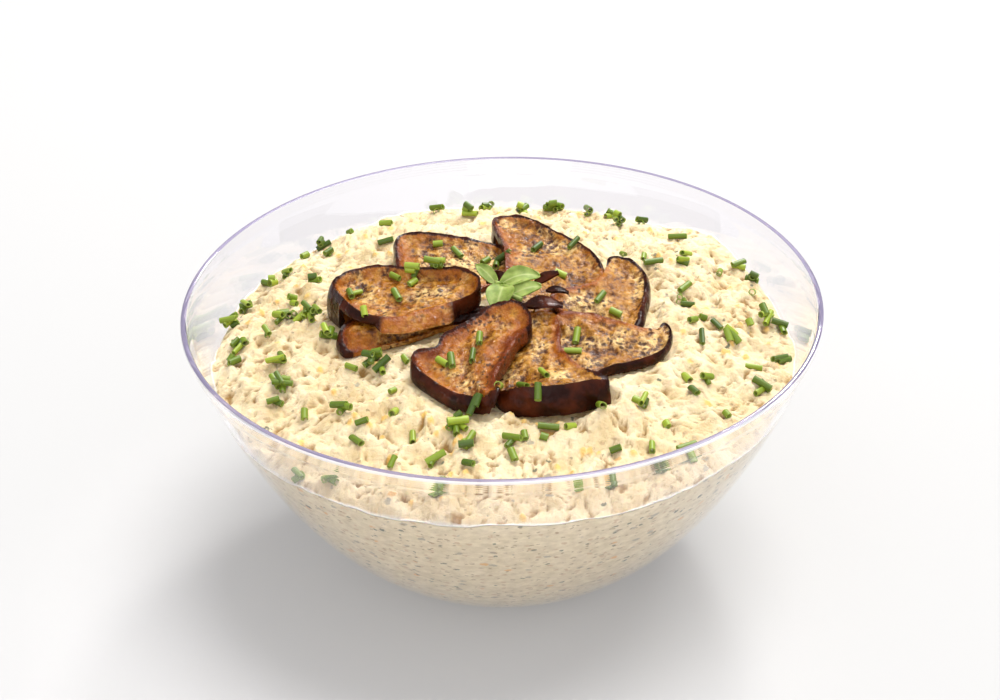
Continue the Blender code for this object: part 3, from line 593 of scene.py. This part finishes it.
# The flesh is darkened twice by a mottle, random browning that is deeper in its dents as painted shade, and browned
# twice by the hot pan: (pattern, from, to, strength, colour)
for pattern, low, high, strength, code in (
        (dent, 0.68, 0.52, 0.85, "683709"), (dent, 0.53, 0.45, 0.9, "351503"),
        (fry_sum, 0.1, 0.5, 0.8, "9A5309"), (fry_sum, 0.45, 0.85, 0.9, "602203")):
    share = add_node(flesh, "MapRange", {1: low, 2: high, 3: 0.0, 4: strength}, {0: pattern})
    color = add_node(flesh, "Mix", {"data_type": "RGBA", 7: from_hex(code)}, {"Factor": share, 6: color})
warp_noise = add_node(flesh, "TexNoise", {"Scale": 350.0, "Detail": 3.0}, {"Vector": place}, output="Color")
warp = add_node(flesh, "VectorMath", {"operation": "MULTIPLY_ADD", 1: (0.003,) * 3}, {0: warp_noise, 2: place})
seeds = add_node(flesh, "TexVoronoi", {"Scale": 400.0}, {"Vector": warp}, output="Distance")
seed_zone = add_node(flesh, "TexNoise", {"Scale": 75.0, "Detail": 3.0}, {"Vector": place})
seed_near = add_node(flesh, "MapRange", {1: 0.45, 2: 0.28, 3: 0.0, 4: 1.0}, {0: seeds})
seed_pick = add_node(flesh, "MapRange", {1: 0.50, 2: 0.58, 3: 0.0, 4: 0.9}, {0: seed_zone})
seeded = add_node(flesh, "Math", {"operation": "MULTIPLY"}, {0: seed_near, 1: seed_pick})
rimmed = add_node(flesh, "MapRange", {1: 0.05, 2: 0.5, 3: 0.0, 4: 1.0}, {0: skin})
for share, code in ((seeded, "361806"), (rimmed, "2A130E")):
    color = add_node(flesh, "Mix", {"data_type": "RGBA", 7: from_hex(code)}, {"Factor": share, 6: color})
gloss_noise = add_node(flesh, "TexNoise", {"Scale": 300.0, "Detail": 3.0}, {"Vector": place})
gloss = add_node(flesh, "MapRange", {1: 0.40, 2: 0.60, 3: 0.07, 4: 0.42}, {0: gloss_noise})
pits = add_node(flesh, "TexNoise", {"Scale": 340.0, "Detail": 6.0, "Roughness": 0.55}, {"Vector": place})
bump = add_node(flesh, "Bump", {"Strength": 1.0, "Distance": 0.0016}, {"Height": pits})
set_up(shader, None, {"Base Color": color, "Roughness": gloss, "Normal": bump})

# Aubergine peel fried in oil: taut and nearly black, with a purple-brown cast, lighter where it has
# blistered. It mirrors the lamps along its edges.
peel, shader = new_material("Fried aubergine peel", {"Roughness": 0.2, "IOR": 1.47, "Specular IOR Level": 0.14})
place = add_node(peel, "TexCoord", output="Object")
peel_noise = add_node(peel, "TexNoise", {"Scale": 120.0, "Detail": 4.0}, {"Vector": place})
peel_tone = add_node(peel, "ValToRGB", {"stops": ((0.42, "220903"), (0.72, "4E1F0B"))}, {"Fac": peel_noise})
blisters = add_node(peel, "TexNoise", {"Scale": 330.0, "Detail": 3.0}, {"Vector": place})
bump = add_node(peel, "Bump", {"Strength": 0.6, "Distance": 0.0010}, {"Height": blisters})
set_up(shader, None, {"Base Color": peel_tone, "Normal": bump})

slice_pieces = []
flesh_x, flesh_y = jittered_points(flesh_spacing, flesh_jitter, 5, flesh_reach)
for name, piece in slices.items():
    curve = closed_curve(piece["outline"], edge_points)
    border = curve[:, :2]
    middle_x, middle_y = border.mean(axis=0)
    near = (np.abs(flesh_x - middle_x) < slice_reach) & (np.abs(flesh_y - middle_y) < slice_reach)
    ax, ay = flesh_x[near], flesh_y[near]
    inner = inside_distance(curve, ax, ay) > edge_margin
    corners = [Vector(point) for point in np.vstack([border, np.stack([ax[inner], ay[inner]], axis=1)])]
    edges = [(step, (step + 1) % edge_points) for step in range(edge_points)]
    result = delaunay_2d_cdt(corners, edges, [], 1, 1e-6)
    x, y = np.array([tuple(corner) for corner in result[0]]).T
    count = len(x)
    within = inside_distance(curve, x, y)
    within[:edge_points] = 0.0
    skin_near, fry_near = from_edge(curve[::4], x, y, 3), from_edge(curve[::4], x, y, 4)
    skin_near[:edge_points], fry_near[:edge_points] = curve[:, 3], curve[:, 4]
    skin_near, fry_near = smooth_step(skin_near, 0.25, 0.75), np.clip(fry_near, 0.0, 1.0)
    edge_skin, edge_fry = skin_near[:edge_points], fry_near[:edge_points]

    # The top: the rim stands up and ruffles, and the flesh inside it has shrunk into folds and fibres
    support = sample(piece["support"], x, y)
    upper = np.maximum(slice_top(piece, x, y), support + least_thick)
    ruffle = 0.45 * hills(x, y, 4.0, 8) + 0.25 * hills(x, y, 2.2, 18)
    rim = np.exp(-(within / 0.9) ** 2)
    bent_x, bent_y = x + 2.5 * hills(x, y, 9.0, 45), y + 2.5 * hills(x, y, 9.0, 46)
    folds = 0.9 * (0.5 - 2.0 * np.abs(hills(bent_x, bent_y * 0.6, 8.0, 41)))
    folds += 0.5 * hills(bent_x * 0.6, bent_y, 3.4, 42)
    fibres = 0.35 * np.sin(1.9 * within + 3.0 * hills(x, y, 11.0, 47)) * np.exp(-within / 7.0)
    flesh_relief = folds + fibres + 0.35 * hills(x, y, 2.0, 43) + 0.25 * hills(x, y, 1.4, 44)
    dish = piece.get("dish", 0.6) * skin_near * smooth_step(within, 0.6, 4.0)
    upper += rim * (0.25 + 0.55 * skin_near + ruffle) + flesh_relief * smooth_step(within, 0.8, 4.0) - dish
    upper = np.maximum(upper, support + 1.0)
    edge_top = upper[:edge_points]

    # The foot: peel leans outward on the pinwheel's outer side, and a cut side may flare
    along = np.roll(border, -1, axis=0) - np.roll(border, 1, axis=0)
    normal = np.stack([along[:, 1], -along[:, 0]], axis=1) / np.hypot(*along.T)[:, None]
    probe = border[:1] + normal[:1]
    if inside_distance(curve, probe[:, 0], probe[:, 1])[0] > 0:
        normal = -normal
    outward = border - np.array(pinwheel_centre)
    outward /= np.hypot(*outward.T)[:, None]
    faces_out = np.clip((normal * outward).sum(axis=1), 0.0, 1.0) ** 3
    foot_out = piece["lean"] * faces_out + piece.get("flare", 0.0) * (1.0 - edge_skin)
    foot = border + normal * foot_out[:, None]
    foot_level = np.maximum(sample(piece["support"], foot[:, 0], foot[:, 1]), edge_top - piece["thick"])
    under = np.stack([x, y, np.maximum(support, upper - piece["thick"])], axis=1)
    under[:edge_points] = np.column_stack([foot, foot_level])
    points = [np.stack([x, y, upper], axis=1), under]

    # What each point is like: how far peel, and how browned
    peel_edge = within + 0.35 * hills(x, y, 4.0, 19)
    skin_values = [skin_near * (1.0 - smooth_step(peel_edge, 0.5, 1.3)), np.zeros(count)]
    if "peel_from" in piece:
        peeled = smooth_step(x, piece["peel_from"], piece["peel_from"] + 6.0)
        skin_values[0] = np.maximum(skin_values[0], peeled)
    skin_values[1][:edge_points] = edge_skin
    browning = fry_near * np.exp(-within / 6.5) + piece["fried"]
    fry_values = [browning + 0.35 * np.exp(-(within / 2.0) ** 2), fry_near * 0.8]
    for step in range(1, wall_rings):
        share = step / wall_rings
        level = edge_top + (foot_level - edge_top) * share
        crease = 0.5 * hills(1.4 * curve[:, 0] + level, 1.4 * curve[:, 1], 7.0, 52)
        reach = foot_out * share + 0.35 + (0.9 * faces_out + crease) * math.sin(math.pi * share)
        points.append(np.column_stack([border + normal * reach[:, None], level]))
        skin_values.append(edge_skin)
        fry_values.append(np.clip(edge_fry + 0.15, 0.0, 1.0))

    faces = [tuple(face) for face in result[2]]
    faces += [tuple(corner + count for corner in reversed(face)) for face in result[2]]
    rings = [0] + [2 * count + edge_points * step for step in range(wall_rings - 1)] + [count]
    for high, low in zip(rings[:-1], rings[1:]):
        faces += [(high + here, high + after, low + after, low + here) for here, after in edges]
    slice_piece = add_mesh(name + "_fried", np.vstack(points), faces)
    skin_all = np.concatenate(skin_values)
    # raised: how high the flesh stands in its folds. The colour is darkened in the low ones as painted shade.
    raised_all = np.full(len(skin_all), 0.55)
    raised_all[:count] = np.clip(0.5 + 0.35 * flesh_relief, 0.0, 1.0)
    add_values(slice_piece, "skin", skin_all)
    add_values(slice_piece, "fry", np.concatenate(fry_values))
    add_values(slice_piece, "raised", raised_all)
    slice_piece.data.materials.append(flesh)
    slice_piece.data.materials.append(peel)
    for polygon in slice_piece.data.polygons:
        polygon.material_index = 1 if skin_all[list(polygon.vertices)].mean() > 0.5 else 0
    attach(slice_piece, "root")
    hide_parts(name)
    slice_pieces.append(slice_piece)


# Curls of peel
# Four strips of fried peel, which has come off the flesh and curled, lie in the middle of the pinwheel.

def bent_strip(start, end, width, rise, lean, taper, steps, columns, ruffle):
    """Points of a strip from start to end: arched by rise, tilted by lean degrees, narrowed to its ends."""
    start, end = np.array(start, dtype=float), np.array(end, dtype=float)
    level = np.cross(end - start, (0.0, 0.0, 1.0))
    level /= np.linalg.norm(level)
    upright = np.cross(level, end - start)
    upright /= np.linalg.norm(upright)
    tilt = math.radians(lean)
    side = level * math.cos(tilt) + upright * math.sin(tilt)
    fold = np.cross(side, end - start)
    fold /= np.linalg.norm(fold)
    rows = []
    for step in range(steps + 1):
        share = step / steps
        middle = start + (end - start) * share + np.array((0.0, 0.0, 1.0)) * rise * math.sin(math.pi * share)
        half = 0.5 * width * max(taper, math.sin(math.pi * share ** 0.85) ** 0.6)
        row = []
        for column in range(columns + 1):
            offset = 2.0 * column / columns - 1.0
            cup = 0.12 * width * offset * offset
            wave = ruffle * offset ** 2 * math.sin(9.0 * share + 2.0 * offset)
            row.append(middle + side * half * offset + fold * (cup + wave))
        rows.append(row)
    return np.array(rows)


def sheet(grid, thickness):
    """A closed thin solid round a grid of points, its two faces joined by a strip along the border."""
    lengthways = np.gradient(grid, axis=0)
    across = np.gradient(grid, axis=1)
    normal = np.cross(lengthways, across)
    normal /= np.linalg.norm(normal, axis=2)[:, :, None]
    upper = (grid + normal * thickness / 2).reshape(-1, 3)
    lower = (grid - normal * thickness / 2).reshape(-1, 3)
    count_long, count_wide = grid.shape[:2]
    offset = count_long * count_wide
    faces = []
    for row in range(count_long - 1):
        for column in range(count_wide - 1):
            a = row * count_wide + column
            b, c, d = a + 1, a + count_wide + 1, a + count_wide
            faces += [(a, b, c, d), (offset + a, offset + d, offset + c, offset + b)]
    border = [column for column in range(count_wide)]
    border += [row * count_wide + count_wide - 1 for row in range(1, count_long)]
    border += [(count_long - 1) * count_wide + column for column in range(count_wide - 2, -1, -1)]
    border += [row * count_wide for row in range(count_long - 2, 0, -1)]
    for here, there in zip(border, border[1:] + border[:1]):
        faces.append((here, offset + here, offset + there, there))
    return np.vstack([upper, lower]), faces


curls = {
    "skin_curl_left": dict(start=(-6.5, 14.5, 122.8), end=(3.5, 14.0, 125.5), width=5.0, rise=1.5, lean=-50),
    "skin_curl_back": dict(start=(14.5, 13.0, 122.3), end=(25.5, 13.5, 127.0), width=4.6, rise=0.8, lean=-35),
    "skin_curl_right": dict(start=(19.5, 6.0, 122.2), end=(29.5, 4.5, 121.8), width=3.6, rise=1.2, lean=-20),
    "skin_curl_front": dict(start=(9.5, -8.8, 123.0), end=(26.5, -9.6, 123.2), width=7.5, rise=1.8, lean=-12),
}
for name, curl in curls.items():
    rows = bent_strip(**curl, taper=0.4, steps=40, columns=14, ruffle=0.25)
    curl_piece = add_mesh(name + "_peel", *sheet(rows, 1.0))
    curl_piece.data.materials.append(peel)
    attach(curl_piece, "root")
    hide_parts(name)


# Herb sprig
# The tip of a fresh herb with four soft leaves, stuck between the slices in the middle.

leaves = [
    dict(start=(-2.2, 6.0, 126.4), end=(-10.8, 14.0, 131.6), width=6.2, rise=1.0, lean=25),
    dict(start=(-0.6, 4.2, 126.8), end=(17.0, 8.0, 128.6), width=9.4, rise=2.6, lean=-24),
    dict(start=(1.4, 4.0, 127.0), end=(-2.6, -10.4, 121.8), width=12.5, rise=2.0, lean=-4),
    dict(start=(3.8, -1.8, 124.8), end=(17.5, 1.5, 127.2), width=8.0, rise=1.2, lean=-22),
]
stem_path = [(-3.0, 7.6, 126.6), (-0.6, 4.6, 126.8), (1.4, 1.6, 125.8), (4.0, -2.0, 125.0), (8.6, -5.6, 124.8)]


def tube(path, radius, sides):
    """Vertices and faces of a closed rod along the path."""
    vertices, faces = [], []
    path = [Vector(point) for point in path]
    for index, point in enumerate(path):
        ahead = path[min(index + 1, len(path) - 1)] - path[max(index - 1, 0)]
        turn = ahead.to_track_quat("Z", "Y").to_matrix()
        for side in range(sides):
            turned = 2 * math.pi * side / sides
            vertices.append(point + turn @ Vector((radius * math.cos(turned), radius * math.sin(turned), 0.0)))
    for index in range(len(path) - 1):
        for side in range(sides):
            after = (side + 1) % sides
            low, high = index * sides, (index + 1) * sides
            faces.append((low + side, low + after, high + after, high + side))
    faces.append(tuple(range(sides)))
    faces.append(tuple((len(path) - 1) * sides + side for side in reversed(range(sides))))
    return np.array([tuple(vertex) for vertex in vertices]), faces


# Fresh herb leaf: thin, soft and pale green, with a waxy sheen and light coming through it.
leaf_green, shader = new_material("Fresh herb leaf", {
    "Roughness": 0.6, "IOR": 1.42, "Subsurface Weight": 0.3, "Subsurface Radius": (0.5, 1.0, 0.2),
    "Subsurface Scale": 0.0015})
place = add_node(leaf_green, "TexCoord", output="Object")
vein = add_node(leaf_green, "Attribute", {"attribute_name": "vein"}, output="Fac")
leaf_noise = add_node(leaf_green, "TexNoise", {"Scale": 260.0, "Detail": 3.0}, {"Vector": place})
leaf_tone = add_node(leaf_green, "ValToRGB", {"stops": ((0.35, "667926"), (0.7, "93A251"))}, {"Fac": leaf_noise})
veined = add_node(leaf_green, "Mix", {"data_type": "RGBA", 7: from_hex("B3BB7A")}, {"Factor": vein, 6: leaf_tone})
set_up(shader, None, {"Base Color": veined})

sprig_points, sprig_faces, sprig_veins = [], [], []
parts = [tube(stem_path, 1.1, 12)]
parts += [sheet(bent_strip(**leaf, taper=0.08, steps=36, columns=16, ruffle=0.3), 0.5) for leaf in leaves]
offset = 0
for number, (vertices, faces) in enumerate(parts):
    sprig_points.append(vertices)
    sprig_faces += [tuple(corner + offset for corner in face) for face in faces]
    middle_line = np.exp(-(np.linspace(-1.0, 1.0, 17) / 0.09) ** 2) * 0.6
    sprig_veins.append(np.full(len(vertices), 0.2) if number == 0 else np.tile(middle_line, len(vertices) // 17))
    offset += len(vertices)
sprig = add_mesh("herb_sprig_leaves", np.vstack(sprig_points), sprig_faces)
add_values(sprig, "vein", np.concatenate(sprig_veins))
sprig.data.materials.append(leaf_green)
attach(sprig, "root")
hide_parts("herb_sprig")


# Chives
# Fresh chives cut across into hollow rings and short tubes, about 3.3 mm wide and 3 to 9 mm long. They are
# strewn loosely over the dip and the slices, many of them in small heaps.

# Where they lie on the dip: (x, y, how many)
dip_chives = [
    (-32, 126, 2), (-15, 110, 3), (-5, 119, 4), (11, 121, 4), (28, 124, 5), (44, 115, 3), (54, 110, 2),
    (56, 100, 4), (67, 100, 2), (84, 84, 1), (-55, 110, 1), (-72, 102, 1), (-54, 82, 1), (-86, 92, 3),
    (-80, 79, 2), (-95, 86, 1), (-100, 66, 2), (-108, 60, 3), (-86, 52, 2), (-95, 34, 2), (-118, 38, 3),
    (-122, 22, 4), (-97, 22, 6), (-89, 14, 4), (-84, 10, 4), (-104, 6, 2), (-77, -8, 3), (-117, 3, 4),
    (-97, -18, 3), (-119, -13, 3), (-65, -33, 1), (-56, -31, 5), (-52, -37, 2), (-42, -31, 1), (-95, -37, 5),
    (-97, -46, 2), (-47, -49, 1), (-84, -58, 1), (-68, -62, 3), (-59, -73, 1), (-46, -65, 1), (-61, -81, 1),
    (-38, -80, 1), (-20, -76, 5), (-12, -71, 2), (-16, -90, 3), (-29, -96, 2), (-15, -101, 1), (-46, -94, 1),
    (3, -90, 2), (8, -87, 1), (3, -98, 1), (-2, -63, 1), (8, -62, 1), (14, -72, 1), (18, -80, 1), (27, -79, 1),
    (16, -87, 1), (45, -91, 1), (40, -73, 1), (60, -89, 1), (57, -62, 4), (67, -74, 1), (93, -64, 1),
    (80, -54, 1), (78, -42, 1), (86, -42, 2), (111, -42, 3), (108, -29, 1), (121, -19, 2), (100, -9, 3),
    (95, 3, 1), (87, -12, 1), (84, 0, 1), (89, 6, 1), (82, 20, 4), (83, 31, 1), (119, 12, 5), (125, 9, 2),
    (110, 7, 1), (116, 48, 3), (114, 33, 1), (101, 53, 1), (110, 58, 2), (84, 54, 2), (86, 62, 1), (66, 54, 1),
    (70, 49, 1), (57, 63, 1), (-87, -95, 2), (-70, -98, 3), (-26, -111, 2), (29, -109, 1), (42, -106, 2),
    (62, -98, 2), (75, -88, 2),
]
# Where they lie on the slices: (x, y, how many), as seen in the photograph on the level of the dip
slice_chives = [
    (-29, 68, 1), (-20, 60, 1), (-30, 48, 4), (-38, 38, 3), (-48, 37, 1), (-40, 33, 1), (-47, 22, 1),
    (-68, 23, 2), (-61, 8, 1), (17, 63, 1), (34, 64, 1), (27, 37, 1), (-7, 50, 1), (0, 50, 2), (44, 16, 1),
    (50, 1, 1), (32, -19, 1), (30, -30, 1), (-10, -19, 1), (-13, -32, 1), (-26, -36, 1), (-22, -37, 1), (17, -49, 1),
]
chive_radius = 1.65
chive_wall = 0.35
pitch = math.radians(31.415)
eye = Vector((-0.00122, -math.cos(pitch), 0.096 + math.sin(pitch)))    # where the photograph was taken from

bpy.ops.object.select_all(action="DESELECT")
bpy.ops.mesh.primitive_cylinder_add(vertices=12, radius=chive_radius * MM, depth=1.0 * MM, end_fill_type="NOTHING")
chive = fresh_piece("chive")
bpy.ops.object.mode_set(mode="OBJECT")
hollow = chive.modifiers.new("hollow", "SOLIDIFY")
hollow.thickness = chive_wall * MM
hollow.offset = -1.0
bpy.ops.object.modifier_apply(modifier=hollow.name)
bpy.ops.object.shade_smooth_by_angle(angle=math.radians(50.0))
inner_wall = [math.hypot(vertex.co.x, vertex.co.y) < (chive_radius - 0.5 * chive_wall) * MM
              for vertex in chive.data.vertices]
add_values(chive, "inner", inner_wall)

depsgraph = bpy.context.evaluated_depsgraph_get()
ground = [BVHTree.FromObject(lying, depsgraph) for lying in [dip] + slice_pieces]


def surface_level(x, y):
    """Height of the food's surface at a plan point, in millimetres."""
    hits = [tree.ray_cast(Vector((x * MM, y * MM, 1.0)), Vector((0.0, 0.0, -1.0)))[0] for tree in ground]
    return max([hit.z / MM for hit in hits if hit], default=97.0)


generator = random.Random(64)
chive_copies = []
laid = []


def lay_chive(x, y, length):
    """Lays one copy of the chive on the surface, on top of the ones that already lie there."""
    heading = generator.uniform(0.0, math.pi)
    reach = 0.4 * length
    ahead_x, ahead_y = math.cos(heading) * reach, math.sin(heading) * reach
    first, last = surface_level(x - ahead_x, y - ahead_y), surface_level(x + ahead_x, y + ahead_y)
    rise = max(-0.6 * length, min(0.6 * length, last - first))
    level = max(0.5 * (first + last), surface_level(x, y) - 0.5) + 0.8 * chive_radius
    for other_x, other_y, other_level in laid:
        if math.hypot(x - other_x, y - other_y) < 2.6 and level - other_level < 2.4:
            level = max(level, other_level + 1.7)
    laid.append((x, y, level))
    direction = Vector((2 * ahead_x, 2 * ahead_y, rise)).normalized()
    turn = direction.to_track_quat("Z", "Y").to_matrix().to_4x4()
    width = generator.uniform(0.82, 1.08)
    squash = generator.uniform(0.72, 1.0)
    size = Matrix.Diagonal((width * squash, width, length, 1.0))
    spin = Matrix.Rotation(generator.uniform(0.0, math.pi), 4, "Z")
    mesh = chive.data.copy()
    mesh.transform(Matrix.Translation(Vector((x, y, level)) * MM) @ turn @ spin @ size)
    copy = bpy.data.objects.new("chive_copy", mesh)
    bpy.context.scene.collection.objects.link(copy)
    add_values(copy, "tone", np.full(len(mesh.vertices), generator.uniform(0.0, 1.0)))
    chive_copies.append(copy)


for x, y, count in dip_chives:
    for number in range(count):
        spread = 0.6 * count if count > 1 else 0.0
        px, py = x + generator.uniform(-spread, spread), y + generator.uniform(-spread, spread)
        room = float(inner_radius(98.0)) - math.hypot(px, py)
        if room < 4.0:
            pull = (float(inner_radius(98.0)) - 4.0) / math.hypot(px, py)
            px, py = px * pull, py * pull
        lay_chive(px, py, generator.choice((3.2, 4.0, 4.8, 5.5, 6.2, 7.5, 8.8)))
for x, y, count in slice_chives:
    for number in range(count):
        spread = 3.0 if count > 1 else 0.0
        aim = Vector((x + generator.uniform(-spread, spread), y + generator.uniform(-spread, spread), 112.0)) * MM
        hits = [tree.ray_cast(eye, aim - eye) for tree in ground]
        place = min((hit for hit in hits if hit[0]), key=lambda hit: hit[3])[0] / MM
        lay_chive(place.x, place.y, generator.choice((4.5, 5.5, 6.5, 7.5)))
bpy.data.objects.remove(chive, do_unlink=True)
bpy.ops.object.select_all(action="DESELECT")
for copy in chive_copies:
    copy.select_set(True)
bpy.context.view_layer.objects.active = chive_copies[0]
bpy.ops.object.join()
chives = bpy.context.object
chives.name = chives.data.name = "chives"

# Fresh chive: smooth, waxy green tubes, deeper green on some, paler and wet where the knife went through.
chive_green, shader = new_material("Fresh chive", {
    "Roughness": 0.38, "IOR": 1.42, "Subsurface Weight": 0.15, "Subsurface Radius": (0.4, 1.0, 0.15),
    "Subsurface Scale": 0.001})
tone, inner = [add_node(chive_green, "Attribute", {"attribute_name": label}, output="Fac")
               for label in ("tone", "inner")]
greens = add_node(chive_green, "ValToRGB", {"stops": ((0.0, "3A5012"), (0.5, "62771B"), (1.0, "93A430"))},
                  {"Fac": tone})
cut = add_node(chive_green, "Mix", {"data_type": "RGBA", 7: from_hex("9FAC50")}, {"Factor": inner, 6: greens})
set_up(shader, None, {"Base Color": cut})
chives.data.materials.clear()
chives.data.materials.append(chive_green)
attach(chives, "root")
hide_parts("dip")


# Stage
# The bowl stands on plain pale paper under a wide soft light from the upper right. The studio is brighter
# in front than behind, and a small lamp behind gives the oil its glints.

bpy.ops.object.select_all(action="DESELECT")
bpy.ops.mesh.primitive_plane_add(size=8.0, location=(0.0, 1.0, 0.0))
paper = bpy.context.object
paper.name = "paper"
bpy.ops.object.transform_apply(location=True)
# Matt white paper: no shine, and a faint glow of its own, which stands for the light that white walls all
# round a studio throw back on it and keeps the bowl's shadow pale.
paper_white, shader = new_material("White paper", {
    "Base Color": from_hex("9A9997"), "Roughness": 0.9, "Emission Color": from_hex("FDFDFF"),
    "Emission Strength": 0.23})
paper.data.materials.append(paper_white)

world = bpy.data.worlds.new("Studio")
bpy.context.scene.world = world
world.use_nodes = True
sky = add_node(world, "TexCoord", output="Generated")
toward = add_node(world, "VectorMath", {"operation": "DOT_PRODUCT", 1: (0.0, -0.8, 0.6)}, {0: sky}, output="Value")
glow = add_node(world, "MapRange", {1: -0.5, 2: 1.0, 3: 0.25, 4: 1.4}, {0: toward})
set_up(world.node_tree.nodes["Background"], {"Color": from_hex("F6F6FA")}, {"Strength": glow})


def add_light(name, kind, location, size, power):
    """A soft lamp that faces the bowl: a square of the given width, or a far one of the given angle."""
    lamp = bpy.data.lights.new(name, kind)
    lamp.energy = power
    if kind == "SUN":
        lamp.angle = math.radians(size)
    else:
        lamp.size = size
    holder = bpy.data.objects.new(name, lamp)
    bpy.context.scene.collection.objects.link(holder)
    holder.location = location
    aim = Vector((0.0, 0.0, 0.1)) - Vector(location)
    holder.rotation_euler = aim.to_track_quat("-Z", "Y").to_euler()
    return holder


add_light("key", "SUN", (0.36, 0.34, 1.2), 40.0, 3.4)
add_light("glint", "AREA", (0.36, 1.05, 0.9), 0.2, 11.0)
add_light("fill", "AREA", (-0.2, -1.4, 0.42), 1.0, 2.5)
bpy.context.scene.view_settings.view_transform = "Standard"

camera_data = bpy.data.cameras.new("camera")
camera_data.lens = 81.17
camera_data.sensor_width = 36.0
camera = bpy.data.objects.new("camera", camera_data)
bpy.context.scene.collection.objects.link(camera)
camera.location = eye
camera.rotation_euler = (math.radians(90.0) - pitch, 0.0, 0.0)
bpy.context.view_layer.update()
camera.matrix_world = camera.matrix_world @ Matrix.Rotation(math.radians(-1.288), 4, "Z")
bpy.context.scene.camera = camera
